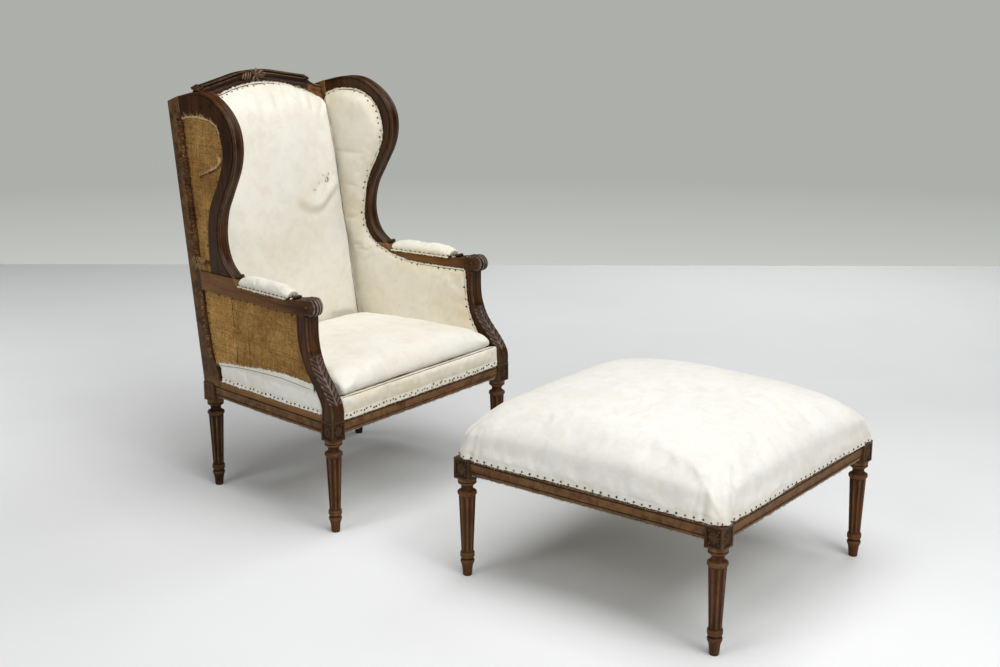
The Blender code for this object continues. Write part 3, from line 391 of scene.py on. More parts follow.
HESSIAN_PITCH = 0.0017
HESSIAN_DARK, HESSIAN_LIGHT = (0.33, 0.155, 0.042), (0.60, 0.34, 0.105)
hessian_side = jute("hessian_side", "YZ", HESSIAN_PITCH, HESSIAN_DARK, HESSIAN_LIGHT)
hessian_rear = jute("hessian_rear", "XZ", HESSIAN_PITCH, HESSIAN_DARK, HESSIAN_LIGHT)
jute_loose = jute("jute_loose", "YZ", HESSIAN_PITCH, (0.50, 0.24, 0.075), (0.80, 0.50, 0.20))
jute_pale = jute("jute_pale", "YZ", HESSIAN_PITCH, (0.62, 0.36, 0.14), (0.90, 0.66, 0.35))
jute_dark = jute("jute_dark", "YZ", HESSIAN_PITCH, (0.040, 0.016, 0.007), (0.19, 0.070, 0.022))
webbing_jute = jute("webbing_jute", "XY", 0.0018, (0.26, 0.19, 0.10), (0.42, 0.33, 0.20))
lining_cloth = jute("lining_cloth", "XY", 0.0011, (0.50, 0.46, 0.38), (0.62, 0.58, 0.49))
print("jute with threads", HESSIAN_PITCH * 1000, "mm apart")

# %% Plain timber, spring wire and tacks
def beech(name):
    wood = new_shader(name)
    grain = wood.noise(wood.stretched(wood.place(), (6, 60, 60)), 1.0, 5.0, 0.6, 0.3)
    tone = wood.ramp(grain, (0.3, (0.20, 0.115, 0.058)), (0.7, (0.36, 0.23, 0.13)))
    return wood.surface(Base_Color=tone, Roughness=0.75)


def iron(name, dark, rust, metallic):
    metal = new_shader(name)
    spots = metal.noise(metal.place(), 300.0, 3.0)
    return metal.surface(Base_Color=metal.ramp(spots, (0.4, dark), (0.75, rust)),
                         Roughness=metal.ramp(spots, (0.3, 0.35), (0.7, 0.7)), Metallic=metallic)


inside_beech = beech("inside_beech")
spring_wire = iron("spring_wire", (0.20, 0.19, 0.18), (0.16, 0.09, 0.05), 1.0)
tack_iron = iron("tack_iron", (0.012, 0.011, 0.010), (0.045, 0.028, 0.017), 0.2)
print("beech, spring wire and tack iron")

# %% [markdown]
# ## Measures of the frame
#
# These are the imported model's own sizes, in metres. The chair's sides slope in towards the
# back, so a side piece is made upright, in distances outwards, back and up, and one matrix puts
# it beside the sloping line of the legs. The left side is the mirror image of the right one.

# %% Sizes of the frame
CHAIR_Y, STOOL_Y = 0.2515, -0.5175      # the chair's front leg axes, the stool's middle
FRONT_HALF, REAR_HALF, DEPTH = 0.3333, 0.2817, 0.4903
BLOCK, BLOCK_LOW, BLOCK_TOP = 0.045, 0.245, 0.297
RAIL_LOW = 0.260
GAP = 0.0003                  # between two pieces that butt together
SPLAY = (FRONT_HALF - REAR_HALF) / DEPTH
RAKE_ANGLE = math.radians(7.9)
RAKE = math.tan(RAKE_ANGLE)
ARM_LOW, ARM_TOP, HEEL_TOP = 0.553, 0.585, 0.603
POST_WIDTH, POST_DEPTH, POST_FOOT, FLARE = 0.040, 0.049, 0.070, 0.175
WING_REACH, WING_HALF = 0.217, 0.018
POST_HEAD, CREST_TOP = 1.046, 1.102
SEAT_EDGE_TOP = 0.367
STOOL_HALF = 0.336


def axis_x(y):
    return FRONT_HALF - SPLAY * y


def post_rear(z):
    return DEPTH + BLOCK / 2 + RAKE * (z - BLOCK_TOP)


def post_front(z):
    share = min(max((z - BLOCK_TOP) / FLARE, 0), 1)
    return post_rear(z) - POST_DEPTH - (POST_FOOT - POST_DEPTH) * (1 - share) ** 1.5


def smooth_line(points, steps=6):
    """A curve through the points, with the given steps between two of them."""
    padded = [points[0], *points, points[-1]]
    line = []
    for before, start, end, after in zip(padded, padded[1:], padded[2:], padded[3:]):
        for step in range(steps):
            t = step / steps
            line.append(tuple(
                0.5 * (2 * b + (c - a) * t + (2 * a - 5 * b + 4 * c - d) * t ** 2
                       + (3 * b - a - 3 * c + d) * t ** 3)
                for a, b, c, d in zip(before, start, end, after)))
    return line + [tuple(points[-1])]


def rounded(distance, reach):
    """A quarter round from 0 at a nailed edge to 1 at the given reach from it."""
    share = min(max(distance / reach, 0), 1)
    return math.sqrt(1 - (1 - share) ** 2)


def side_place(outwards, back, up):
    """A point beside the chair's right-hand line of legs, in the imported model's frame."""
    return Vector((axis_x(back) + outwards, back + CHAIR_Y, up))


SIDE_MATRIX = Matrix(((1, -SPLAY, 0, FRONT_HALF), (0, 1, 0, CHAIR_Y), (0, 0, 1, 0), (0, 0, 0, 1)))
for node, y in (("front_leg_right", CHAIR_Y), ("stool_front_rail", STOOL_Y - STOOL_HALF)):
    low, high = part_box(node)
    print(node, "from", round(low.y, 4), "to", round(high.y, 4), "with its axis at", round(y, 4))

# %% [markdown]
# ## Helpers for pieces
#
# A new piece starts from a primitive with nothing else selected. Four shapes come back again
# and again: a slab cut to an outline, a skin laid over a grid of places, a stuffed shape that
# starts as a finely cut cube, and a ready piece that is copied to many places. When a piece is
# done it gets its material, and it is told which body it rides on and which solids it stands
# for.

# %% Selecting and editing
def deselect():
    if bpy.context.object and bpy.context.object.mode != "OBJECT":
        bpy.ops.object.mode_set(mode="OBJECT")
    bpy.ops.object.select_all(action="DESELECT")


def make_active(piece):
    deselect()
    piece.select_set(True)
    bpy.context.view_layer.objects.active = piece


def edit(action="SELECT"):
    """Open the active piece for editing, with all of it selected or none."""
    bpy.ops.object.mode_set(mode="EDIT")
    bpy.ops.mesh.select_all(action=action)


def close():
    bpy.ops.object.mode_set(mode="OBJECT")


def edit_faces(piece, chosen):
    """Open a piece for editing, with the faces selected that chosen(face) picks."""
    make_active(piece)
    edit("DESELECT")
    close()
    for face in piece.data.polygons:
        face.select = chosen(face)
    bpy.ops.object.mode_set(mode="EDIT")


def linked(name, data):
    """A new object in the scene, with the given data."""
    piece = bpy.data.objects.new(name, data)
    bpy.context.scene.collection.objects.link(piece)
    return piece


def smooth_below(degrees):
    bpy.ops.object.shade_smooth_by_angle(angle=math.radians(degrees))


def add_modifier(piece, kind, **settings):
    """Add a modifier and apply it at once."""
    make_active(piece)
    bpy.ops.object.modifier_add(type=kind)
    modifier = piece.modifiers[-1]
    for key, value in settings.items():
        setattr(modifier, key, value)
    bpy.ops.object.modifier_apply(modifier=modifier.name)


def soften(piece, width, segments=2, angle=30):
    """Round the sharp edges of a piece."""
    add_modifier(piece, "BEVEL", width=width, segments=segments, limit_method="ANGLE",
                 angle_limit=math.radians(angle))


def tidy(piece, smooth=40, closed=True):
    """Merge doubles, close holes, point the faces outwards and smooth them."""
    make_active(piece)
    edit()
    bpy.ops.mesh.remove_doubles(threshold=0.00001)
    if closed:
        bpy.ops.mesh.fill_holes(sides=0)
    bpy.ops.mesh.select_all(action="SELECT")
    bpy.ops.mesh.normals_make_consistent(inside=False)
    close()
    smooth_below(smooth)
    return piece


# %% Joining, copying and finishing
def joined(pieces, name):
    make_active(pieces[0])
    for piece in pieces[1:]:
        piece.select_set(True)
    if len(pieces) > 1:
        bpy.ops.object.join()
    pieces[0].name = name
    return pieces[0]


def copied(piece, matrix=Matrix.Identity(4)):
    """A copy with its own mesh, put in place in that mesh."""
    other = linked(piece.name, piece.data.copy())
    other.data.transform(matrix)
    if matrix.determinant() < 0:
        other.data.flip_normals()
    return other


MIRROR = Matrix.Scale(-1, 4, (1, 0, 0))


def settle(piece, name, body, material, slot, *nodes):
    """Name and finish a piece, let it ride on its body and stand for its solids."""
    piece.name = "dressed_" + name
    piece.data.name = piece.name
    piece.data.materials.clear()
    piece.data.materials.append(material)
    for face in piece.data.polygons:
        face.material_index = 0
    if nodes:
        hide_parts(*nodes)
    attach(piece, body)
    return piece


def settle_pair(right, name, material, slot, replaced):
    """Finish a right-hand piece of the chair and its mirror image on the left."""
    pair = [(copied(right, MIRROR), "left"), (right, "right")]
    made = [settle(piece, f"{name}_{side}", "chair", material, slot,
                   *[f"{node}_{side}" for node in replaced]) for piece, side in pair]
    print(name, "on both sides,", len(right.data.polygons), "faces each")
    return made


# %% Slabs and skins
def extruded(corners, way, smooth):
    """A filled outline of the given corners, drawn out along a way."""
    deselect()
    bpy.ops.mesh.primitive_circle_add(vertices=len(corners), fill_type="NGON")
    piece = bpy.context.object
    for vertex, corner in zip(piece.data.vertices, corners):
        vertex.co = corner
    edit()
    bpy.ops.mesh.extrude_region_move(TRANSFORM_OT_translate={"value": way})
    close()
    return tidy(piece, smooth)


def slab(outline, low, high, bevel=0.0, segments=2):
    """An outline of (back, up) points given a thickness outwards, from low to high."""
    piece = extruded([(low, back, up) for back, up in outline], (high - low, 0, 0), 40)
    if bevel:
        soften(piece, bevel, segments)
    return piece


def skin(columns, rows, place):
    """A grid laid over the places that place(across, along) gives, from 0 to 1 each way."""
    deselect()
    bpy.ops.mesh.primitive_grid_add(x_subdivisions=columns, y_subdivisions=rows, size=2)
    piece = bpy.context.object
    for vertex in piece.data.vertices:
        vertex.co = place((vertex.co.x + 1) / 2, (vertex.co.y + 1) / 2)
    return piece


# %% Walking along lines
def along_line(line, share):
    """The point at a share from 0 to 1 of a line's points."""
    step = min(max(share, 0), 1) * (len(line) - 1)
    low = min(int(step), len(line) - 2)
    return Vector(line[low]).lerp(Vector(line[low + 1]), step - low)


def tree_of(points):
    tree = KDTree(len(points))
    for index, point in enumerate(points):
        tree.insert(point, index)
    tree.balance()
    return tree


def evenly(line, spacing):
    """The line again, with points the given distance apart."""
    points = [Vector(point) for point in line]
    lengths = [(b - a).length for a, b in zip(points, points[1:])]
    count = max(2, round(sum(lengths) / spacing))
    places, index, walked = [], 0, 0.0
    for step in range(count + 1):
        target = sum(lengths) * step / count
        while index < len(lengths) - 1 and walked + lengths[index] < target:
            walked += lengths[index]
            index += 1
        share = (target - walked) / lengths[index] if lengths[index] else 0
        places.append(points[index].lerp(points[index + 1], min(share, 1)))
    return places


def ring_at(section, share):
    """The point at a share of the way round a closed section."""
    step = (share % 1) * len(section)
    low = int(step) % len(section)
    return Vector(section[low]).lerp(Vector(section[(low + 1) % len(section)]), step - int(step))


# %% [markdown]
# ## Turned legs
#
# All eight legs are alike: a drum under the block, a thin neck, a collar, a long taper with
# eight flutes, and a ringed foot. On the lathe the profile is cut first and the flutes are
# carved afterwards, and this leg is made in the same order. A filled circle is extruded ring
# by ring and scaled to each radius. Then the vertices between the flutes' edges are drawn in
# towards the axis.

# %% Profile of a leg
LEG_CORNERS = 64
LEG_RINGS = (   # radius and height in millimetres, from the foot up
    (10.2, 0), (10.8, 1.2), (11.4, 8), (12.2, 18), (13.3, 26), (15.2, 31), (16.6, 34.5),
    (16.9, 37.5), (16.2, 40), (14.0, 41.5), (13.2, 43.5), (14.0, 45.5), (16.2, 46.5),
    (17.0, 48.5), (17.2, 53), (17.0, 57.5), (16.3, 59.5), (14.3, 60.5), (14.4, 62.5),
    (14.45, 63.5), (14.5, 65.5), (14.6, 68), (14.75, 72), (15.6, 95), (16.8, 125),
    (18.0, 155), (19.3, 187), (19.6, 194), (19.75, 198), (19.82, 200.5), (19.87, 202.5),
    (19.9, 203.5), (20.4, 204.2), (22.2, 205.2), (23.0, 207.5), (23.0, 209.8), (22.3, 212.4),
    (19.8, 214.4), (16.2, 216.4), (14.5, 218.6), (14.0, 222), (14.4, 225.4), (16.5, 228.6),
    (19.6, 231.2), (21.8, 232.8), (22.3, 234.6), (21.9, 236.2), (20.8, 237), (21.0, 238),
    (22.2, 239), (22.2, 251),
)
FLUTE_LOW, FLUTE_HIGH, FLUTE_END = 0.0630, 0.2030, 0.0085
FLUTE_DEPTH = 0.0036 / 0.0199           # as a share of the radius at the leg's top
FLUTE_SECTION = (0, 0.62, 0.92, 1.0, 0.92, 0.62, 0, 0)   # eight flutes of eight corners


def turned_leg():
    deselect()
    radius, height = (value / 1000 for value in LEG_RINGS[0])
    bpy.ops.mesh.primitive_circle_add(vertices=LEG_CORNERS, radius=radius, fill_type="NGON")
    leg = bpy.context.object
    edit()
    for ring in LEG_RINGS[1:]:
        wider, higher = (value / 1000 for value in ring)
        bpy.ops.mesh.extrude_region_move(
            TRANSFORM_OT_translate={"value": (0, 0, higher - height)})
        bpy.ops.transform.resize(value=(wider / radius, wider / radius, 1),
                                 center_override=(0, 0, higher))
        radius, height = wider, higher
    close()
    return tidy(leg)


def cut_flutes(leg):
    for vertex in leg.data.vertices:
        near_end = min(vertex.co.z - FLUTE_LOW, FLUTE_HIGH - vertex.co.z) / FLUTE_END
        if near_end <= 0:
            continue
        corner = round(math.atan2(vertex.co.y, vertex.co.x) / math.tau * LEG_CORNERS)
        depth = FLUTE_SECTION[corner % 8] * math.sin(min(near_end, 1) * math.pi / 2) ** 0.6
        vertex.co.xy *= 1 - depth * FLUTE_DEPTH


leg_pattern = turned_leg()
cut_flutes(leg_pattern)
print("one leg:", len(leg_pattern.data.polygons), "faces")

# %% [markdown]
# ## Corner blocks and rosettes
#
# Above each leg is a square block that the rails are jointed into. On the front of the chair
# and all round the stool the block has a sunk panel with a carved rosette, and the chair's rear
# blocks have the panel alone. The panel is an inset that is pushed in, and the rosette is two
# rings of petals round a button, each petal a flattened sphere.

# %% Rosette
PETALS = 8
ROSETTE_RINGS = (   # from the middle, length, width and height of a petal, in millimetres
    (8.6, 5.4, 3.5, 1.9), (4.3, 3.0, 2.2, 2.6))


def flat_ball(place, scale, turn=(0, 0, 0), segments=10, rings=6):
    deselect()
    bpy.ops.mesh.primitive_uv_sphere_add(segments=segments, ring_count=rings, radius=1)
    ball = bpy.context.object
    spin = Matrix.Rotation(turn[2], 4, "Z") @ Matrix.Rotation(turn[1], 4, "Y") @ Matrix.Rotation(
        turn[0], 4, "X")
    ball.data.transform(Matrix.Translation(place) @ spin @ Matrix.Diagonal((*scale, 1)))
    return ball


def rosette():
    """A rosette that lies on the floor, facing up."""
    parts = [flat_ball((0, 0, 0.0006), (0.0027, 0.0027, 0.0030))]
    for out, length, width, height in ROSETTE_RINGS:
        for petal in range(PETALS):
            angle = math.tau * petal / PETALS + (0.39 if out < 5 else 0)
            place = (out * math.cos(angle) / 1000, out * math.sin(angle) / 1000, 0)
            parts.append(flat_ball(place, (length / 1000, width / 1000, height / 1000),
                                   (0, 0, angle)))
    for x in (-1, 1):
        for y in (-1, 1):
            parts.append(flat_ball((x * 0.0118, y * 0.0150, 0), (0.0042, 0.0024, 0.0018),
                                   (0, 0, math.atan2(y * 1.2, x))))
    flower = joined(parts, "rosette")
    bpy.ops.object.shade_smooth()
    return flower


rosette_pattern = rosette()
print("one rosette:", len(rosette_pattern.data.polygons), "faces")

# %% Blocks
PANEL_MARGIN, PANEL_SLOPE, PANEL_DEPTH = 0.0062, 0.0012, 0.0022


def corner_block(splay, panel_normals, carved):
    deselect()
    bpy.ops.mesh.primitive_cube_add(size=1)
    block = bpy.context.object
    block.data.transform(Matrix.Translation((0, 0, (BLOCK_LOW + BLOCK_TOP) / 2))
                         @ Matrix.Diagonal((BLOCK, BLOCK, BLOCK_TOP - BLOCK_LOW, 1)))
    for normal in panel_normals:
        edit_faces(block, lambda face: face.normal.dot(Vector(normal)) > 0.99 and face.area > 0.002)
        bpy.ops.mesh.inset(thickness=PANEL_MARGIN)
        bpy.ops.mesh.inset(thickness=PANEL_SLOPE, depth=-PANEL_DEPTH)
        bpy.ops.mesh.inset(thickness=0.0015)
        close()
    soften(block, 0.0011)
    tidy(block, 35)
    parts = [block]
    middle = Vector((0, 0, (BLOCK_LOW + BLOCK_TOP) / 2))
    for normal in panel_normals if carved else ():
        facing = Vector(normal)
        place = Matrix.Translation(middle + facing * (BLOCK / 2 - PANEL_DEPTH))
        turn = facing.to_track_quat("Z", "Y").to_matrix().to_4x4()
        parts.append(copied(rosette_pattern, place @ turn))
    block = joined(parts, "block")
    if carved:
        marked(block, "stained", lambda co: 0.55)
    else:
        marked(block, "even", lambda co: 1)
        marked(block, "bare", lambda co: 0.22)
    block.data.transform(Matrix(((1, -splay, 0, 0), (0, 1, 0, 0), (0, 0, 1, 0), (0, 0, 0, 1))))
    return block


print("a block is", BLOCK * 1000, "mm square")

# %% Front legs of the chair and the four legs of the stool
front_leg = joined([corner_block(SPLAY, ((0, -1, 0), (1, 0, 0)), True), copied(leg_pattern)], "leg")
front_leg.data.transform(Matrix.Translation((FRONT_HALF, CHAIR_Y, 0)))
settle_pair(front_leg, "front_leg", walnut_upright, "walnut_frame", ["front_leg"])
for row, sign in (("front", -1), ("rear", 1)):
    for side, hand in (("left", -1), ("right", 1)):
        stool_leg = joined([corner_block(0, ((0, sign, 0), (hand, 0, 0)), True),
                            copied(leg_pattern)], "leg")
        stool_leg.data.transform(
            Matrix.Translation((hand * STOOL_HALF, STOOL_Y + sign * STOOL_HALF, 0)))
        name = f"stool_{row}_leg_{side}"
        settle(stool_leg, name, "footstool", walnut_upright, "walnut_frame", name)
print("legs stand at", FRONT_HALF, "and", STOOL_HALF, "m from the middle")

# %% [markdown]
# ## Back posts
#
# Each back post is one long piece of timber, from the foot through the block to the raked
# stile. Its foot is deeper, so the stile flares towards the seat.

# %% Back posts
WING_FOOT_Z = HEEL_TOP + GAP
WING_RISE = POST_HEAD - HEEL_TOP


def wing_point(reach_share, height_share):
    """A point in the wing's plane: shares of its reach forwards and of its height."""
    z = WING_FOOT_Z + height_share * WING_RISE
    return post_front(z) - GAP - reach_share * WING_REACH, z


head_z = wing_point(0, 1.03)[1]
heights = [BLOCK_TOP - 0.004 + step * 0.02 for step in range(9)] + [0.55, 0.75, 0.95, head_z]
stile = [(post_front(z), z) for z in heights]
stile += [(post_rear(POST_HEAD), POST_HEAD - 0.003), (post_rear(BLOCK_TOP), BLOCK_TOP),
          (post_rear(BLOCK_TOP), BLOCK_TOP - 0.004)]
post = slab(stile, -POST_WIDTH / 2, POST_WIDTH / 2, 0.0022)
post.data.transform(SIDE_MATRIX)
rear_place = Matrix.Translation((REAR_HALF, CHAIR_Y + DEPTH, 0))
rear_block = corner_block(SPLAY, ((0, 1, 0), (1, 0, 0)), False)
rear_block.data.transform(rear_place)
back_post = joined([post, rear_block, copied(leg_pattern, rear_place)], "back_post")
settle_pair(back_post, "back_post", walnut_post, "walnut_frame", ["back_post"])

# %% [markdown]
# ## Moulded rails
#
# Rails are run with a moulding plane: a bead at the top, a broad band between two quirks, and a
# small bead at the foot. One section is drawn in the plane of the timber's end, filled, and
# extruded from block to block.

# %% Rails
RAIL_SECTION = (   # outwards and up from the rail's foot, in millimetres
    (-17.5, 0), (-17.5, 37), (15.0, 37), (17.0, 36.6), (18.2, 35.2), (18.5, 33.4), (18.0, 31.8),
    (16.8, 30.8), (15.4, 30.4), (15.2, 29.0), (16.4, 28.3), (17.3, 27.0), (17.1, 24.0),
    (16.6, 20.5), (16.5, 17.0), (16.9, 13.5), (17.4, 11.0), (16.6, 9.8), (15.0, 9.4),
    (14.8, 8.0), (16.0, 7.4), (16.9, 6.0), (16.9, 4.4), (16.0, 3.2), (14.4, 2.6), (13.6, 0),
)


def rail(length):
    """A rail along the depth, from 0 to its length, with its moulded face outwards."""
    corners = [(out / 1000, 0, RAIL_LOW + up / 1000) for out, up in RAIL_SECTION]
    return extruded(corners, (0, length, 0), 32)


def cross_rail(half_length, facing, splay):
    """A rail across the width, its ends cut to the slope of the blocks."""
    piece = rail(2 * half_length)
    piece.data.transform(Matrix.Rotation(facing * math.pi / 2, 4, "Z")
                         @ Matrix.Translation((0, -half_length, 0)))
    for vertex in piece.data.vertices:
        vertex.co.x *= (half_length - splay * vertex.co.y) / half_length
    return piece


FILLET_LOW, FILLET_TOP = BLOCK_TOP - 0.002, 0.3098
inset = BLOCK / 2 + GAP
side_rail = rail(DEPTH - 2 * inset)
fillet_end = DEPTH - 2 * inset - 0.0006
fillet = slab([(0.0006, FILLET_LOW), (fillet_end, FILLET_LOW), (fillet_end, FILLET_TOP),
               (0.0006, FILLET_TOP)], 0.0108, 0.0168, 0.0010)
side_rail = joined([side_rail, fillet], "side_rail")
marked(side_rail, "bare", lambda co: 0.75 * rounded(co.z - BLOCK_TOP + 0.006, 0.006))
side_rail.data.transform(SIDE_MATRIX @ Matrix.Translation((0, inset, 0)))
settle_pair(side_rail, "side_rail", walnut_back, "walnut_frame", ["side_rail"])
stool_side = rail(2 * STOOL_HALF - 2 * inset)
stool_side.data.transform(Matrix.Translation((STOOL_HALF, STOOL_Y - STOOL_HALF + inset, 0)))
for piece, side in ((copied(stool_side, MIRROR), "left"), (stool_side, "right")):
    settle(piece, f"stool_side_rail_{side}", "footstool", walnut_back, "walnut_frame",
           f"stool_side_rail_{side}")
for name, body, half, facing, splay, y in (
        ("front_rail", "chair", FRONT_HALF, -1, SPLAY, CHAIR_Y),
        ("rear_rail", "chair", REAR_HALF, 1, SPLAY, CHAIR_Y + DEPTH),
        ("stool_front_rail", "footstool", STOOL_HALF, -1, 0, STOOL_Y - STOOL_HALF),
        ("stool_rear_rail", "footstool", STOOL_HALF, 1, 0, STOOL_Y + STOOL_HALF)):
    piece = cross_rail(half - inset, facing, splay)
    piece.data.transform(Matrix.Translation((0, y, 0)))
    settle(piece, name, body, walnut_across, "walnut_frame", name)
print("eight rails with", len(RAIL_SECTION), "corners in their section")

# %% [markdown]
# ## Arm supports
#
# The support sweeps up and back in a flat S from the block to the arm. Its sides have a bead
# along each edge. Its front is the richest carving of the chair: reeds at the top, a long leaf
# of overlapping scales down the curve, and a few drilled dots above the block. A grid is wrapped
# round the S, closely spaced on the front, and every vertex is raised or sunk by the carving.

# %% Shape of the arm support
SUPPORT_HALF, SUPPORT_DEPTH, SUPPORT_SETBACK = 0.021, 0.043, 0.088
SUPPORT_SHAPE = (   # height share, setback share and depth share, from the block up
    (0.00, 0.00, 1.00), (0.13, 0.00, 0.92), (0.27, 0.22, 0.86), (0.46, 0.66, 0.86),
    (0.61, 0.87, 0.86), (0.77, 0.98, 0.90), (1.00, 1.00, 0.95),
)
low, high = BLOCK_TOP + GAP, ARM_LOW - GAP
support_middle = smooth_line([(low + up * (high - low), back * SUPPORT_SETBACK,
                               depth * SUPPORT_DEPTH / 2) for up, back, depth in SUPPORT_SHAPE])
support_front = [(y - half, z) for z, y, half in support_middle]
support_rear = [(y + half, z) for z, y, half in support_middle]
print("arm support from", round(low, 4), "to", round(high, 4), "m")

# %% [markdown]
# Each face has its own carving, a height in millimetres. The front takes half of the way round,
# so half of the columns go to its carving. The leaf's lobes are one wave that slants out from
# the middle vein, and each row of it overlaps the next.

# %% Carving of the support
REEDS_FROM, LEAF_FROM, LEAF_ROWS = 0.66, 0.20, 9


def bead(share, middle, half_width, height):
    """A round bead across a face, in the units of height."""
    away = abs(share - middle) / half_width
    return height * math.sqrt(1 - away ** 2) if away < 1 else 0.0


def leaf_lobes(edge, up):
    """Overlapping lobes that sweep up and out from the leaf's middle vein, from 0 to 1."""
    if not LEAF_FROM < up < REEDS_FROM:
        return 0.0
    row = (up - LEAF_FROM) / (REEDS_FROM - LEAF_FROM) * LEAF_ROWS - 1.4 * edge ** 1.1
    ends = min(1, (up - LEAF_FROM) / 0.02, (REEDS_FROM - up) / 0.02)
    blade = 1 - abs(2 * (row % 1) - 0.75) ** 2.2 if row % 1 < 0.875 else 0.3
    return ends * max(0, 0.8 * blade + 0.2 * math.cos(8 * math.pi * row))


def front_carving(across, up):
    """How far the support's front stands proud, in millimetres."""
    edge = abs(across)
    border = bead(edge, 0.91, 0.09, 1.0) - bead(edge, 0.82, 0.02, 0.8)
    curl = 4.2 * math.exp(-((up - REEDS_FROM + 0.010) / 0.017) ** 2) * (1 - edge ** 4)
    if LEAF_FROM < up < REEDS_FROM:
        lobes = (1.4 + 1.9 * edge) * leaf_lobes(edge, up)
        vein = 1.6 * math.exp(-(across / 0.09) ** 2)
        return (lobes + vein - 1.2) * rounded(1 - edge, 0.03) + curl
    if edge > 0.80:
        return border
    if up > REEDS_FROM:
        blend = min(1, (up - REEDS_FROM) / 0.05)
        return -0.8 + 1.5 * abs(math.sin(1.5 * math.pi * (edge / 0.80 + 1))) * blend + curl
    return -0.7


def side_carving(share):
    """How far the support's side stands proud, from its front edge (0) to its rear (1)."""
    return (bead(share, 0.07, 0.07, 0.7) - bead(share, 0.17, 0.035, 1.3)
            + bead(share, 0.93, 0.07, 0.7) - bead(share, 0.83, 0.035, 1.3)
            - 0.3 * rounded(min(share, 1 - share), 0.03))


def leaf_side(share, up):
    """How far the leaf's lobes stand out over the front of the support's sides."""
    return 2.0 * leaf_lobes(1.0, up) * max(0, math.sin(math.pi * min(1, share / 0.22)))


# %% Wrap the support
FRONT_SHARE, SIDE_SHARE, BACK_SHARE = 0.50, 0.19, 0.12
DOT_HEIGHTS, DOT_RADIUS = (0.045, 0.095, 0.145), 0.0024


def support_place(round_share, up):
    front, rear = along_line(support_front, up), along_line(support_rear, up)
    above, below = along_line(support_front, up + 0.01), along_line(support_front, up - 0.01)
    slope = (above - below).normalized()
    forwards = Vector((-slope.y, slope.x))
    side_at, back_at = FRONT_SHARE, FRONT_SHARE + SIDE_SHARE
    if round_share <= side_at:
        across = round_share / FRONT_SHARE * 2 - 1
        proud = front_carving(across, up)
        for dot in DOT_HEIGHTS:
            away = math.hypot(across * SUPPORT_HALF, (up - dot) * (high - low))
            proud -= 3.0 * max(0, 1 - (away / DOT_RADIUS) ** 4)
        back, z = front + forwards * proud / 1000
        return across * SUPPORT_HALF, back, z
    if round_share <= back_at:
        share = (round_share - side_at) / SIDE_SHARE
        out = SUPPORT_HALF + (side_carving(share) + leaf_side(share, up)) / 1000
    elif round_share < back_at + BACK_SHARE:
        share, out = 1, SUPPORT_HALF * (1 - 2 * (round_share - back_at) / BACK_SHARE)
    else:
        share = 1 - (round_share - back_at - BACK_SHARE) / SIDE_SHARE
        out = -SUPPORT_HALF - (side_carving(share) + leaf_side(share, up)) / 1000
    back, z = front.lerp(rear, share)
    return out, back, z


support = skin(112, 230, support_place)
tidy(support, 60)
heights = [step / 500 for step in range(501)]
support_tree = tree_of([(0, *along_line(support_front, up)) for up in heights])


def leaf_light(co):
    """How light the support is painted: a painted highlight, with some dust, on the leaf's ridges,
    and dark between them.
    """
    spot, index, away = support_tree.find((0, co.y, co.z))
    edge, up = abs(co.x) / SUPPORT_HALF, heights[index]
    if away > 0.007 or not LEAF_FROM < up < REEDS_FROM + 0.02:
        return 0.0
    fibres = math.cos(34 * math.pi * (up * 2.2 - 0.32 * edge ** 1.1) + 9 * edge) * 0.5 + 0.5
    lobe = leaf_lobes(edge, up) ** 3 * (0.25 + 0.9 * fibres)
    spine = 0.8 * math.exp(-(edge / 0.10) ** 2) * (up < REEDS_FROM)
    return 0.58 * max(lobe, spine) * (1 - away / 0.007)


# The leaf is darkened, less on its ridges: grime in the carving, and painted shade between the
# lobes.
def leaf_grime_and_shade(co):
    near_front = support_tree.find((0, co.y, co.z))[2] < 0.004
    on_leaf = LEAF_FROM < (co.z - low) / (high - low) < REEDS_FROM
    return 0.5 - leaf_light(co) if near_front and on_leaf else 0.0


marked(support, "ridge", leaf_light)
marked(support, "stained", leaf_grime_and_shade)
support.data.transform(SIDE_MATRIX)
settle_pair(support, "arm_support", walnut_carved, "walnut_frame", ["arm_support"])

# %% [markdown]
# ## Arms
#
# The arm runs forwards from the post. Its broad heel carries the wing, its flat top takes a
# little pad between two small carved rolls, and its end turns over into a ribbed scroll for the
# hand. The bar is a slab with softened edges, the scroll is a skin wrapped round the
# turned-over end, and beads are run along the bar's lower edges.

# %% Bar of the arm
SCROLL_Y, SCROLL_RADIUS, SCROLL_UP = 0.0575, 0.0215, 0.5770
ARM_HALF = 0.0225
PAD_START = 0.1395
heel_front = wing_point(0.662, 0)[0] - 0.004
fall = smooth_line([(heel_front, HEEL_TOP), (heel_front - 0.006, (HEEL_TOP + ARM_TOP) / 2),
                    (heel_front - 0.012, ARM_TOP)], 4)
bar_front = SCROLL_Y + 0.030
bar = slab([(post_front(ARM_LOW) - GAP, ARM_LOW), (post_front(HEEL_TOP) - GAP, HEEL_TOP),
            *fall, (0.145, ARM_TOP), (bar_front, ARM_TOP + 0.003), (bar_front, ARM_LOW)],
           -ARM_HALF, ARM_HALF, 0.0028, 3)
marked(bar, "even", lambda co: 0.85 * (co.y < 0.16))
print("bar:", len(bar.data.polygons), "faces")

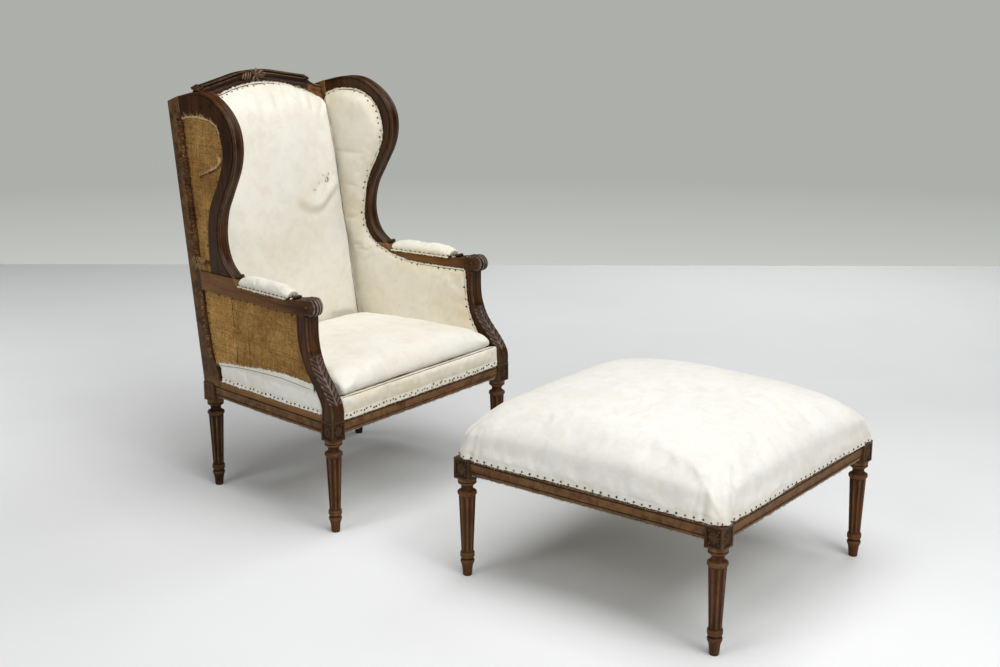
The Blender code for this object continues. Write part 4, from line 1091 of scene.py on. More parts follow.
# %% Scroll of the arm
def scroll_outline():
    """Side view of the hand-hold, clockwise from the rear of its top."""
    top = smooth_line([(0.140, ARM_TOP), (0.118, ARM_TOP + 0.0035), (0.092, 0.5945),
                       (0.070, 0.5982)], 5)
    nose = [(SCROLL_Y + SCROLL_RADIUS * math.sin(-angle),
             SCROLL_UP + SCROLL_RADIUS * math.cos(angle))
            for angle in [math.pi * step / 16 for step in range(18)]]
    under = smooth_line([(0.0680, 0.5560), (0.078, 0.5515), (0.094, ARM_LOW + 0.001),
                         (0.120, ARM_LOW + 0.004)], 4)
    return top[:-1] + nose + under


SCROLL_RIBS = 5
scroll_ring = [tuple(point) for point in evenly(scroll_outline(), 0.0026)]
scroll_middle = Vector((SCROLL_Y + 0.016, SCROLL_UP - 0.003))


def scroll_place(round_share, across_share):
    across = 2 * across_share - 1
    back, z = ring_at(scroll_ring, round_share)
    forwards = min(max((0.110 - back) / 0.045, 0), 1)
    squeezed = 1 - (1 - math.sqrt(max(0, 1 - abs(across) ** 5))) * 0.34 * forwards
    nose = min(max((0.085 - back) / 0.045, 0), 1)
    reeded = abs(math.cos(SCROLL_RIBS * math.pi * across / 2)) ** 0.7 - 0.5
    leafy = 0.0015 * abs(math.sin(8 * math.pi * across))
    collar = 0.075 * math.exp(-((back - 0.0840 - leafy) / 0.0028) ** 2)
    quirk = 0.10 * math.exp(-((back - 0.0775) / 0.0030) ** 2)
    rib = 0.100 * min(1, nose * 3) * reeded + (collar - quirk)
    spot = scroll_middle + (Vector((back, z)) - scroll_middle) * (squeezed + rib)
    retreat = 0.020 * nose * (1 - math.sqrt(max(0, 1 - abs(across) ** 2.4)))
    return across * (ARM_HALF - 0.0005 - 0.0015 * nose), spot.x + retreat, spot.y


scroll = skin(len(scroll_ring), 44, scroll_place)
tidy(scroll, 50)
marked(scroll, "stained", lambda co: 0.30 if abs(co.x) > ARM_HALF - 0.0045
          else 0.35 + 0.45 * rounded(0.084 - co.y, 0.010))
# The scroll is pale on its sharp edges: dust, and a painted highlight.
marked(scroll, "dusty", lambda co: 0.9 * (abs(co.x) < ARM_HALF - 0.002))
print("scroll:", len(scroll.data.polygons), "faces")

# %% Beads and small rolls of the arm
beads = []
for hand in (-1, 1):
    deselect()
    bpy.ops.mesh.primitive_cylinder_add(vertices=10, radius=0.0020, depth=0.235)
    bead_strip = bpy.context.object
    place = Matrix.Translation((hand * (ARM_HALF - 0.0008), 0.240, ARM_LOW + 0.0042))
    bead_strip.data.transform(place @ Matrix.Rotation(math.pi / 2, 4, "X"))
    beads.append(bead_strip)
    for out, thick, wide in ((0.0052, 0.0030, 0.0088), (0.0036, 0.0042, 0.0042)):
        beads.append(flat_ball((hand * (ARM_HALF - out), SCROLL_Y + 0.012, SCROLL_UP),
                               (thick, wide, wide), segments=16, rings=10))
rolls = []
for y, z in ((0.1240, 0.5915), (heel_front - 0.001, 0.6080)):
    for place, scale in (((-0.0072, y, z), (0.0085, 0.0058, 0.0043)),
                         ((0.0072, y, z), (0.0085, 0.0058, 0.0043)),
                         ((0, y - 0.003, z + 0.0005), (0.0090, 0.0045, 0.0038))):
        rolls.append(flat_ball(place, scale, segments=14, rings=8))
        marked(rolls[-1], "stained", lambda co: 1.0)
arm = joined([bar, scroll, *beads, *rolls], "arm")
smooth_below(45)
marked(arm, "bare", lambda co: 0.95 * rounded(co.y - 0.340, 0.05) * (co.z > ARM_LOW) * (
    0.70 + 0.35 * fractal.noise(co * 25)))
arm.data.transform(SIDE_MATRIX)
settle_pair(arm, "arm", walnut_back, "walnut_frame", ["arm"])

# %% [markdown]
# ## Wings
#
# The wing is a shaped board with a window in it, and its front edge carries a moulding that
# follows the curve from the crest down to the arm. The board is a slab, and the moulding is a
# skin: one section is carried along the edge, square to the curve at every step, and it runs
# into small reeds near the arm.

# %% Outlines of the wing
WING_EDGE = (
    (0.00, 1.030), (0.33, 1.063), (0.60, 1.052), (0.85, 0.975), (0.985, 0.870),
    (0.99, 0.749), (0.90, 0.630), (0.71, 0.490), (0.54, 0.360), (0.455, 0.210),
    (0.50, 0.080), (0.662, 0.000),
)
WING_WINDOW = (
    (0.212, 0.000), (0.240, 0.194), (0.344, 0.381), (0.588, 0.555), (0.740, 0.700),
    (0.744, 0.810), (0.660, 0.890), (0.450, 0.920), (0.200, 0.920), (0.000, 0.900),
)
RIM = 0.0090
wing_edge = smooth_line([wing_point(*share) for share in WING_EDGE], 8)
wing_window = smooth_line([wing_point(*share) for share in WING_WINDOW], 8)


def squared(line):
    """For each point of a line, the direction to its left, in the line's plane."""
    points = [Vector(point) for point in line]
    steps = [(b - a) for a, b in zip([points[0], *points], [*points[1:], points[-1]])]
    return [Vector((-step.y, step.x)).normalized() for step in steps]


edge_points = [Vector(point) for point in wing_edge]
edge_out = squared(wing_edge)
if edge_out[len(edge_out) // 2].x > 0:
    edge_out = [-way for way in edge_out]
board_edge = [tuple(point - way * RIM) for point, way in zip(edge_points, edge_out)]
board_edge[0] = (post_front(board_edge[0][1]) - GAP, board_edge[0][1])
board_edge = [spot for spot in board_edge if spot[1] > WING_FOOT_Z + 0.0005]
board_edge.append((board_edge[-1][0] - 0.0005, WING_FOOT_Z))
board = slab(board_edge + wing_window, -WING_HALF + 0.0006, WING_HALF - 0.0006)
marked(board, "even", lambda co: 1)

RIM_SECTION = (   # outwards from the wing's middle, and beyond the board's edge, in millimetres
    (-18.0, -14.0), (-18.0, 1.2), (-16.7, 1.6), (-16.4, 2.6), (-17.4, 3.2), (-18.2, 4.6),
    (-17.9, 6.4), (-16.4, 7.6), (-14.8, 7.3), (-13.8, 6.4), (-13.0, 7.6), (-11.4, 8.8),
    (-9.2, 8.8), (-7.8, 7.4), (-7.0, 6.6), (-3.5, 6.0), (0.0, 5.8), (3.5, 6.0), (7.0, 6.6),
    (7.8, 7.4), (9.2, 8.8), (11.4, 8.8), (13.0, 7.6), (13.8, 6.4), (14.8, 7.3), (16.4, 7.6),
    (17.9, 6.4), (18.2, 4.6), (17.4, 3.2), (16.4, 2.6), (16.7, 1.6), (18.0, 1.2), (18.0, -14.0),
)


def rim_place(round_share, down):
    out, beyond = ring_at(RIM_SECTION, round_share)
    index = min(round(down * (len(edge_points) - 1)), len(edge_points) - 1)
    reeds = max(0, down - 0.80) / 0.20 * 0.9 * math.cos(out * 1.3) if beyond > 5 else 0
    away = (beyond + reeds) / 1000 - RIM
    if beyond < 2:
        out *= 1 - 0.055 * min(max((down - 0.86) / 0.10, 0), 1)
    spot = edge_points[index] + edge_out[index] * away
    return out / 1000, spot.x, spot.y


rim = skin(2 * len(RIM_SECTION), len(edge_points) - 1, rim_place)
tidy(rim, 45)
marked(rim, "even", lambda co: 0.9 * (abs(co.x) > 0.0169))
wing = joined([board, rim], "wing")
wing.data.transform(SIDE_MATRIX)
settle_pair(wing, "wing_frame", walnut_wing, "walnut_frame", ["wing_frame"])

# %% [markdown]
# ## Crest rail
#
# The crest closes the back between the wings. Its top rises from each wing to a shoulder and
# then to a low arch, where a bow of ribbon is carved. It leans with the back, so it is drawn
# flat and then leaned: across, towards the sitter, and up the slope.

# %% Shape of the crest
CREST_LINE = (   # share of the half width, and share of the rise above the posts
    (0.00, 1.00), (0.20, 0.95), (0.45, 0.755), (0.66, 0.585), (0.752, 0.515), (0.770, 0.500),
    (0.778, 0.430), (0.805, 0.270), (0.850, 0.120), (0.910, 0.000), (1.00, -0.09),
)
CREST_SECTION = (   # towards the sitter, and down from the top, in millimetres
    (0, 70), (0, 6), (2, 2), (6, 0), (28, 0), (31, 0.4), (33.5, 1.8), (34.4, 4.0), (33.6, 6.2),
    (31.6, 7.4), (30.6, 8.4), (31.4, 9.6), (33.8, 10.6), (34.6, 12.5), (33.2, 15.5), (31.8, 19.0),
    (31.4, 22.5), (32.4, 25.5), (34.4, 27.2), (35.6, 28.2), (36, 30), (36, 70),
)


def up_slope(z):
    return (z - BLOCK_TOP) / math.cos(RAKE_ANGLE)


LEAN = (Matrix.Translation((0, DEPTH + BLOCK / 2 + CHAIR_Y, BLOCK_TOP))
        @ Matrix.Rotation(-RAKE_ANGLE, 4, "X"))


def back_place(across, forwards, slope, inset=POST_WIDTH / 2 + GAP):
    """A point of the raked back, where across runs from -1 to 1 between the posts."""
    spot = LEAN @ Vector((0, -forwards, slope))
    spot.x = across * (axis_x(spot.y - CHAIR_Y) - inset)
    return spot


crest_low = up_slope(POST_HEAD)
crest_rise = up_slope(CREST_TOP) - crest_low
crest_half = smooth_line([(x, crest_low + rise * crest_rise) for x, rise in CREST_LINE], 8)
crest_top = [(-x, up) for x, up in reversed(crest_half[1:])] + crest_half
crest_foot = up_slope(CREST_TOP) - 0.070


def crest_place(round_share, across_share):
    forwards, down = ring_at(CREST_SECTION, round_share)
    index = round(across_share * (len(crest_top) - 1))
    across, top = crest_top[index]
    foot = crest_foot - 0.046 * abs(across) ** 1.5
    slope = foot if down == 70 else top - down / 1000 * min(1, (top - foot) / 0.055)
    return back_place(across, forwards / 1000, slope)


crest = skin(2 * len(CREST_SECTION), len(crest_top) - 1, crest_place)
tidy(crest, 40)
print("crest:", len(crest.data.polygons), "faces")

# %% Carved bow of the crest
def leaf(place, length, width, height, angle):
    """A pointed leaf with a sunk rib, in the plane of the crest's face."""
    def lay(along, across):
        lengthwise, sideways = along * 2 - 1, across * 2 - 1
        half = width / 2 * math.sqrt(max(0, 1 - abs(lengthwise) ** 1.7))
        crown = height * math.sqrt(max(0, 1 - lengthwise ** 2)) * (
            math.cos(sideways * math.pi / 2) ** 0.6 - 0.45 * math.exp(-(sideways / 0.16) ** 2))
        x, y = lengthwise * length / 2, sideways * half
        return (place[0] + x * math.cos(angle) - y * math.sin(angle), -crown,
                place[1] + x * math.sin(angle) + y * math.cos(angle))
    return skin(12, 8, lay)


BOW_LEAVES = (   # across, up from the crest's middle line, length, width, turn in degrees
    (0.022, 0.006, 0.026, 0.011, 24), (0.024, -0.005, 0.028, 0.012, -14),
    (0.006, 0.010, 0.022, 0.010, 66), (0.010, -0.013, 0.022, 0.010, -66),
    (0.036, 0.001, 0.018, 0.010, 4), (-0.006, -0.011, 0.020, 0.009, 244),
    (-0.006, 0.009, 0.018, 0.008, 120),
)
BOW_RIBS = ((-0.044, 0.0085), (-0.035, 0.0115), (-0.026, 0.0125), (-0.018, 0.0115))
bow = [leaf((across, up), length, width, 0.0065, math.radians(degrees))
       for across, up, length, width, degrees in BOW_LEAVES]
bow += [flat_ball((across, -0.001, -0.001), (0.0030, 0.0046, half), (0, 0.42, 0), 12, 8)
        for across, half in BOW_RIBS]
bow.append(flat_ball((0.004, 0, 0), (0.0070, 0.0058, 0.0080), segments=16, rings=10))
carving = joined(bow, "bow")
# The bow is pale on its sharp edges: dust, and a painted highlight.
marked(carving, "dusty", lambda co: 0.22)
tidy(carving, 60)
face = back_place(0, 0.0335, up_slope(CREST_TOP) - 0.0165)
carving.data.transform(Matrix.Translation(face) @ Matrix.Rotation(-RAKE_ANGLE, 4, "X"))
shoulders = []
for hand in (-1, 1):
    for step in range(3):
        spot = back_place(hand * (0.765 + step * 0.030), 0.020,
                          crest_low + crest_rise * (0.475 - 0.045 * step) - 0.002)
        shoulders.append(flat_ball(spot, (0.0036, 0.0175, 0.0052), (RAKE_ANGLE, 0, 0), 12, 8))
crest = joined([crest, carving, *shoulders], "crest_rail")
marked(crest, "bare", lambda co: 0.8 * rounded(co.x - 0.196, 0.012) * rounded(
    1.052 - co.z, 0.010) * (0.6 + 0.4 * fractal.noise(co * 40)))
settle(crest, "crest_rail", "chair", walnut_crest, "walnut_frame", "crest_rail")

# %% [markdown]
# ## Calico pads
#
# A pad starts as a plain stuffed form: a finely cut cube that is laid over the shape of the
# stuffing, or a slab whose face swells with the distance from its nailed edge. It is remeshed
# to even faces, a little smaller than the stuffing. Then the calico is a cloth simulation with
# pressure inside, held still where it rests on the frame and at every tack. A cap on how far a
# point may move keeps each pad in its place.

# %% Stuffed forms
def evened(piece, voxel):
    """The same form with even faces, of about the given size."""
    tidy(piece)
    add_modifier(piece, "REMESH", mode="VOXEL", voxel_size=voxel)
    add_modifier(piece, "SMOOTH", factor=0.5, iterations=5)
    return piece


def stuffed(cuts, place, voxel):
    """A finely cut cube laid over place(across, deep, up), each from -1 to 1."""
    deselect()
    bpy.ops.mesh.primitive_cube_add(size=2)
    piece = bpy.context.object
    edit()
    bpy.ops.mesh.subdivide(number_cuts=cuts)
    close()
    for vertex in piece.data.vertices:
        vertex.co = place(*(math.sin(share * math.pi / 2) for share in vertex.co))
    return evened(piece, voxel)


SIDE_PAD_FACE, SIDE_PAD_BACK = 0.0408, 0.0228
PAD_BOTTOM = 0.3438
FRONT_ROLL_PROUD, FRONT_ROLL_DEPTH, FRONT_ROLL_TOP = 0.020, 0.034, 0.3515
SEAM_TOP, SEAM_FRONT = 0.3500, -0.0125
seat_rear = post_rear(PAD_BOTTOM) - 0.036 - 0.002 - 0.034 - 0.0012


def seat_place(across, deep, up):
    y = (SEAM_FRONT + seat_rear) / 2 + deep * (seat_rear - SEAM_FRONT) / 2
    foot = PAD_BOTTOM + (SEAM_TOP - PAD_BOTTOM) * (1 if y < 0.015 else 0)
    lift = 0.030 * rounded(deep + 1, 0.34)
    crown = (0.062 - lift) * ((1 - abs(across) ** 2.6) * (1 - abs(deep) ** 3.0)) ** 0.62
    top = SEAM_TOP + 0.0050 + lift + crown
    z = foot + (up + 1) / 2 * (top - foot)
    inset = SIDE_PAD_FACE - 0.0125 * rounded(deep + 1, 0.3)
    return across * (axis_x(y) - inset), y + CHAIR_Y, z


SEAM_OUTS = (   # height, and how far inside the legs' line the back meets the side lining
    (0.30, 0.0245), (0.60, 0.0245), (0.66, 0.0285), (0.86, 0.0295), (0.94, 0.035), (1.10, 0.049),
)


def seam_out(z):
    for (low, start), (high, end) in zip(SEAM_OUTS, SEAM_OUTS[1:]):
        if z <= high:
            return start + (end - start) * (z - low) / (high - low)
    return SEAM_OUTS[-1][1]


BACK_BEHIND, BACK_THICKNESS, BACK_CROWN, BACK_DROP = 0.0386, 0.034, 0.022, 0.060
back_foot, back_head = up_slope(SEAT_EDGE_TOP - 0.006), up_slope(CREST_TOP - 0.038)


def back_pad_place(across, deep, up):
    top = back_head - BACK_DROP * abs(across) ** 2
    slope = back_foot + (up + 1) / 2 * (top - back_foot)
    crown = BACK_CROWN * (1 - across ** 4) * (1 - abs(up) ** 4)
    full = BACK_THICKNESS * (0.10 + 0.90 * rounded(top - slope, 0.040)) + crown
    full -= 0.006 * (1 - rounded(1 - abs(across), 0.030))
    height = BLOCK_TOP + slope * math.cos(RAKE_ANGLE)
    return back_place(across, BACK_BEHIND + (1 - deep) / 2 * full, slope, seam_out(height) + 0.0006)


seat_pad = stuffed(44, seat_place, 0.007)
back_pad = stuffed(52, back_pad_place, 0.007)
print("seat and back:", len(seat_pad.data.polygons), len(back_pad.data.polygons), "faces")

# %% [markdown]
# The lining of a wing and its arm is one piece of calico, nailed along the arm support, under
# the arm and up the front of the wing. Its slab follows that outline, and its face rises from
# the nailed edge in a quarter round.

# %% Side linings
NAILED = (   # back and up, from the seat along the support and the arm to the wing's head
    (0.040, 0.350), (0.045, 0.377), (0.065, 0.412), (0.080, 0.458), (0.086, 0.500), (0.089, 0.540),
    (0.091, 0.5555), (0.105, 0.5565), (0.175, 0.5565), (0.223, 0.5570), (0.280, 0.5605),
    (0.330, 0.5720), (0.375, 0.5905), (0.413, 0.6150), (0.432, 0.6450), (0.438, 0.6820),
    (0.434, 0.7280), (0.428, 0.7690), (0.413, 0.8100), (0.396, 0.8420), (0.378, 0.8820),
    (0.369, 0.9220), (0.374, 0.9620), (0.393, 1.0010), (0.423, 1.0250), (0.462, 1.0370),
    (0.508, 1.0360), (0.545, 1.0270), (0.563, 1.0170),
)


pad_low = SEAT_EDGE_TOP - 0.010
nailed = smooth_line(NAILED, 4)
post_line = [(post_front(z) - 0.0006, z) for z in (1.0, 0.7, 0.5, 0.44, 0.40, pad_low)]
side_edge = tree_of([(0, *point) for point in evenly(nailed, 0.003)])
side_pad = slab(nailed + post_line, -SIDE_PAD_FACE, -SIDE_PAD_BACK)
evened(side_pad, 0.006)
for vertex in side_pad.data.vertices:
    out, back, up = vertex.co
    distance = side_edge.find((0, back, up))[2]
    inner = min(max((-SIDE_PAD_BACK - out) / (SIDE_PAD_FACE - SIDE_PAD_BACK), 0), 1)
    behind = 0.0183 + 0.0045 * (1 - rounded(up - 0.60, 0.05))
    before_seam = min(max((post_rear(up) - 0.076 - back) / 0.07, 0), 1)
    belly = (0.011 if up > ARM_TOP else 0.008) * rounded(distance, 0.10)
    belly *= math.sin(before_seam * math.pi / 2)
    full = (seam_out(up) - behind) * rounded(distance, 0.028) + belly + 0.0012
    vertex.co.x = -behind - inner * full
side_pad.data.transform(SIDE_MATRIX)
print("side lining:", len(side_pad.data.polygons), "faces")

# %% [markdown]
# The seat's front edge is a stitched roll between the arm supports, and a thinner roll runs
# along each side under the hessian. The arm rests carry small pads with a high crown.

# %% Rolls and arm pads
ROLL_LOW = BLOCK_TOP + GAP


def front_roll_place(across, deep, up):
    share = (up + 1) / 2
    z = ROLL_LOW + share * (FRONT_ROLL_TOP - ROLL_LOW)
    over, under = 1 - rounded(1 - share, 0.30), 1 - rounded(share, 0.25)
    front = -FRONT_ROLL_PROUD + 0.0060 * over + 0.0035 * under
    y = front + (deep + 1) / 2 * (FRONT_ROLL_DEPTH - FRONT_ROLL_PROUD - front)
    z -= 0.0050 * (deep + 1) / 2 * share
    return across * (axis_x(y) - SUPPORT_HALF - GAP), y + CHAIR_Y, z


side_roll_start = max(y for y, z in support_rear if z < SEAT_EDGE_TOP) + GAP
side_roll_end = post_front(ROLL_LOW) - GAP


def side_roll_place(across, deep, up):
    share = (up + 1) / 2
    z = ROLL_LOW + share * (SEAT_EDGE_TOP - ROLL_LOW)
    outer = -0.0060 + 0.0225 * rounded(share, 0.75) - 0.0035 * share ** 6
    start = side_roll_start - 0.0265 * (1 - share) ** 1.2
    y = start + (deep + 1) / 2 * (side_roll_end - start)
    return side_place(-SIDE_PAD_FACE + (across + 1) / 2 * (outer + SIDE_PAD_FACE), y, z)


def arm_pad_place(across, deep, up):
    crown = (1 - 0.50 * abs(across) ** 2.4) * (1 - 0.42 * abs(deep) ** 4)
    tucked = 1 - 0.06 * (1 - (up + 1) / 2) ** 2
    y = (PAD_START + arm_pad_end) / 2 + deep * tucked * (arm_pad_end - PAD_START) / 2
    return side_place(across * tucked * 0.0238, y, ARM_TOP + GAP + (up + 1) / 2 * 0.0325 * crown)


arm_pad_end = heel_front - 0.012 - 0.0025
front_roll = stuffed(30, front_roll_place, 0.005)
side_roll = stuffed(30, side_roll_place, 0.005)
arm_pad = stuffed(24, arm_pad_place, 0.004)
print("rolls and arm pads:", len(front_roll.data.polygons), len(side_roll.data.polygons),
      len(arm_pad.data.polygons), "faces")

# %% The footstool's dome
STOOL_PAD_LOW, STOOL_PAD_SIDE, STOOL_PAD_CROWN, STOOL_PAD_HALF = 0.2996, 0.046, 0.101, 0.3572
STOOL_CORNER = 0.042          # how round the dome's corners are, seen from above


def stool_place(across, deep, up):
    crown = STOOL_PAD_CROWN * ((1 - abs(across) ** 2.5) * (1 - abs(deep) ** 2.5)) ** 0.40
    share = (up + 1) / 2
    z = STOOL_PAD_LOW + share * (STOOL_PAD_SIDE + crown)
    half = STOOL_PAD_HALF + 0.0030 * math.sin(math.pi * min(share * 1.3, 1)) - 0.0015 * (1 - share)
    x, y = across * half, deep * half
    corner = STOOL_CORNER * min(1, 1.5 * share) ** 1.1 + 0.001
    beyond = Vector((max(abs(x) - half + corner, 0), max(abs(y) - half + corner, 0)))
    if beyond.x and beyond.y:
        beyond *= max(beyond) / beyond.length
        x = math.copysign(half - corner + beyond.x, x)
        y = math.copysign(half - corner + beyond.y, y)
    return x, STOOL_Y + y, z


stool_pad = stuffed(56, stool_place, 0.008)
print("footstool's dome:", len(stool_pad.data.polygons), "faces")

# %% [markdown]
# ## Where the tacks go
#
# Calico, hessian and bottoming cloth are all nailed with blued steel tacks, driven by eye a
# finger's width apart. Each line of tacks is given as a curve near the cloth and the way that
# the hammer looked. The same places hold the cloth still in the simulation.

# %% Lines of tacks
rng = random.Random(7)
tack_spots = []               # place, way in, name of the line


def tack_line(name, line, way, spacing, wander=0.0018, mirrored=True):
    """Uneven tacks along a line of places in the frame, with the left side's as well."""
    way = Vector(way).normalized()
    for spot in evenly(line, spacing):
        shift = Vector([rng.uniform(-1, 1) for _ in range(3)])
        along = shift - way * shift.dot(way)
        place = Vector(spot) + along * wander
        tack_spots.append((place, way, name))
    if mirrored:
        flipped = [MIRROR @ Vector(spot) for spot in line]
        tack_line(name, flipped, MIRROR @ way, spacing, wander, False)


NAIL_INSET = 0.0024           # from the side lining's edge to its tacks
nail_line = evenly(nailed, 0.004)
middle_of_pad = Vector((0.33, 0.60))
nail_out = squared([tuple(point) for point in nail_line])
if nail_out[20].dot(middle_of_pad - nail_line[20]) > 0:
    nail_out = [-way for way in nail_out]
nail_inset = [point - way * NAIL_INSET for point, way in zip(nail_line, nail_out)]
tack_line("side_pad", [side_place(-0.08, *point) for point in nail_inset if point.y > 0.385],
          (1, 0, 0), 0.0185)
top_line = [back_place(step / 24, 0.12, back_head - BACK_DROP * (step / 24) ** 2 - 0.0050,
                       SIDE_PAD_FACE) for step in range(-22, 23)]
tack_line("back_pad", top_line, LEAN.to_3x3() @ Vector((0, 1, 0)), 0.020, 0.0016, False)
roll_half = axis_x(0) - SUPPORT_HALF - 0.006
tack_line("front_roll", [(x, CHAIR_Y - 0.05, 0.3050) for x in (-roll_half, roll_half)], (0, 1, 0),
          0.0125, 0.0038, False)
tack_line("side_roll", [side_place(0.05, side_roll_start - 0.012, 0.3145),
                        side_place(0.05, side_roll_end - 0.006, 0.3145)], (-1, 0, 0), 0.0175)
for hand in (-1, 1):
    line = [side_place(hand * 0.05, y, ARM_TOP + 0.0050)
            for y in (PAD_START + 0.008, arm_pad_end - 0.006)]
    tack_line("arm_pad", line, (-hand, 0, 0), 0.016, 0.0010)
tack_line("arm_pad", [side_place(across, PAD_START - 0.05, ARM_TOP + 0.0050)
                      for across in (-0.016, 0.016)], (0, 1, 0), 0.011)
reach = STOOL_PAD_HALF - 0.006
STOOL_TURNS = [Matrix.Translation((0, STOOL_Y, 0)) @ Matrix.Rotation(turn * math.pi / 2, 4, "Z")
               for turn in range(4)]
BEFORE_PAD = -0.42            # a line in front of the dome, which the tacks look in from
for spin in STOOL_TURNS:
    tack_line("stool_pad", [spin @ Vector((x, BEFORE_PAD, 0.3035)) for x in (-reach, reach)],
              spin.to_3x3() @ Vector((0, 1, 0)), 0.0215, 0.0013, False)
print(len(tack_spots), "tacks in the calico")

# %% [markdown]
# ## Cloth over the stuffing
#
# All the pads are simulated at once. Weights hold the underside, the face against the frame and
# the tacks. The cloth is cut a little larger than the form, so it puckers between the tacks.

# %% Cloth simulation
PRESSURE = 3.0
EXTRA_CLOTH = -0.018          # a negative shrink leaves the cloth longer
SIM_FRAMES = 20
TACK_GRIP = 0.0055            # how far round a tack the cloth is held still
LOOK_IN = 0.12                # how far a line looks for the surface of a pad


def beside_legs(co):
    """How far a point lies outside the line of the chair's legs."""
    return co.x - axis_x(co.y - CHAIR_Y)


soft = {   # piece, cap on the movement of a point, and where the cloth rests on something
    "seat_pad": (seat_pad, 0.007, lambda co: co.z < PAD_BOTTOM + 0.006),
    "back_pad": (back_pad, 0.006, lambda co: (LEAN.inverted() @ co).y > -BACK_BEHIND - 0.004),
    "side_pad": (side_pad, 0.004, lambda co: beside_legs(co) > -SIDE_PAD_BACK - 0.003),
    "front_edge_roll": (front_roll, 0.004,
                        lambda co: co.y > CHAIR_Y + 0.010 or co.z < BLOCK_TOP + 0.003),
    "side_edge_roll": (side_roll, 0.0025, lambda co: beside_legs(co) < -0.006),
    "arm_rest_pad": (arm_pad, 0.003, lambda co: co.z < ARM_TOP + 0.005),
    "stool_pad": (stool_pad, 0.008, lambda co: co.z < STOOL_PAD_LOW + 0.005),
}


def surface_tree(piece):
    piece.data.calc_loop_triangles()
    corners = [vertex.co.copy() for vertex in piece.data.vertices]
    return BVHTree.FromPolygons(corners, [tuple(face.vertices) for face in piece.data.polygons])


def own_line(name):
    """The name of a pad's line of tacks."""
    return name.replace("edge_", "").replace("rest_", "")


def nail_points(name, piece):
    """Where a pad's own tacks meet its surface, with the way out of it."""
    tree, hits = surface_tree(piece), []
    for place, way, line in tack_spots:
        if line == own_line(name):
            spot, normal = tree.ray_cast(place, way, LOOK_IN)[:2]
            if spot is not None:
                hits.append((spot, normal, line))
    return hits


for name, (piece, cap, rests) in soft.items():
    hits = nail_points(name, piece)
    tacks = tree_of([spot for spot, normal, line in hits]) if hits else None
    held = piece.vertex_groups.new(name="held")
    for vertex in piece.data.vertices:
        near = tacks and tacks.find(vertex.co)[2] < TACK_GRIP
        if near or rests(vertex.co):
            held.add([vertex.index], 1.0, "REPLACE")
    make_active(piece)
    bpy.ops.object.modifier_add(type="CLOTH")
    cloth = piece.modifiers[-1]
    cloth.settings.use_pressure = True
    cloth.settings.uniform_pressure_force = PRESSURE
    cloth.settings.vertex_group_mass = "held"
    cloth.settings.shrink_min = EXTRA_CLOTH
    cloth.settings.bending_stiffness = 0.4
    cloth.settings.quality = 4
    cloth.settings.effector_weights.gravity = 0
for frame_number in range(1, SIM_FRAMES + 1):
    bpy.context.scene.frame_set(frame_number)
graph = bpy.context.evaluated_depsgraph_get()
for name, (piece, cap, rests) in soft.items():
    puffed = [vertex.co.copy() for vertex in piece.evaluated_get(graph).data.vertices]
    piece.modifiers.clear()
    moved = 0.0
    for vertex, spot in zip(piece.data.vertices, puffed):
        shift = spot - vertex.co
        length = shift.length
        moved = max(moved, length)
        if length > 0:
            vertex.co += shift / length * cap * math.tanh(length / cap)
    print(name, "moved up to", round(moved * 1000, 1), "mm, capped at", cap * 1000)
bpy.context.scene.frame_set(1)

# %% [markdown]
# Each tack pulls the cloth down in a small dimple, and drag lines run from it into the pad.
# The calico is soiled near its edges and where it folds, in uneven patches, and the valleys
# of the dome's corner folds are painted darker as well, which is painted shade.

# %% Dimples, waves and soiling
DIMPLE_RADIUS, DIMPLE_DEPTH = 0.012, 0.0016
SOIL_REACH = 0.016            # from the tacks, where the calico is dirtiest


def dimple(piece, hits):
    if not hits:
        return
    tree = tree_of([spot for spot, normal, name in hits])
    for vertex in piece.data.vertices:
        spot, index, distance = tree.find(vertex.co)
        if distance < DIMPLE_RADIUS:
            share = (1 + math.cos(math.pi * distance / DIMPLE_RADIUS)) / 2
            vertex.co -= hits[index][1] * DIMPLE_DEPTH * share


def ruffle(piece, size, height, stretch=(1, 1, 1)):
    """Soft waves along the normals."""
    normals = [vertex.normal.copy() for vertex in piece.data.vertices]
    for vertex, normal in zip(piece.data.vertices, normals):
        spot = Vector([c * s / size for c, s in zip(vertex.co, stretch)])
        vertex.co += normal * height * fractal.fractal(spot, 1.0, 2.0, 3)


def soil(piece, base, edge_points):
    tree = tree_of(edge_points) if edge_points else None

    def share(co):
        near = math.exp(-tree.find(co)[2] / SOIL_REACH) if tree else 0
        cloud = 0.5 + 0.5 * fractal.fractal(co * 6.0, 1.0, 2.0, 4)
        return base + 0.75 * near * (0.3 + cloud) + 0.45 * (cloud - 0.5)

    marked(piece, "soil", share)


# %% [markdown]
# High on the back pad the calico is torn and puckered, and a crease curves round below the
# tear. The crease is a line, and the face rises on one side of it and sinks on the other.

# %% The scar in the back
CREASE = smooth_line([(0.050, 0.727), (0.075, 0.717), (0.097, 0.711), (0.119, 0.709),
                      (0.138, 0.716), (0.156, 0.728), (0.178, 0.742), (0.205, 0.755),
                      (0.236, 0.765)], 5)
crease_spots = evenly(CREASE, 0.002)
crease_tree = tree_of([(spot.x, 0, spot.y) for spot in crease_spots])
TEAR = (0.168, 0.790)
SCAR_MIDDLE = (0.125, 0.790)


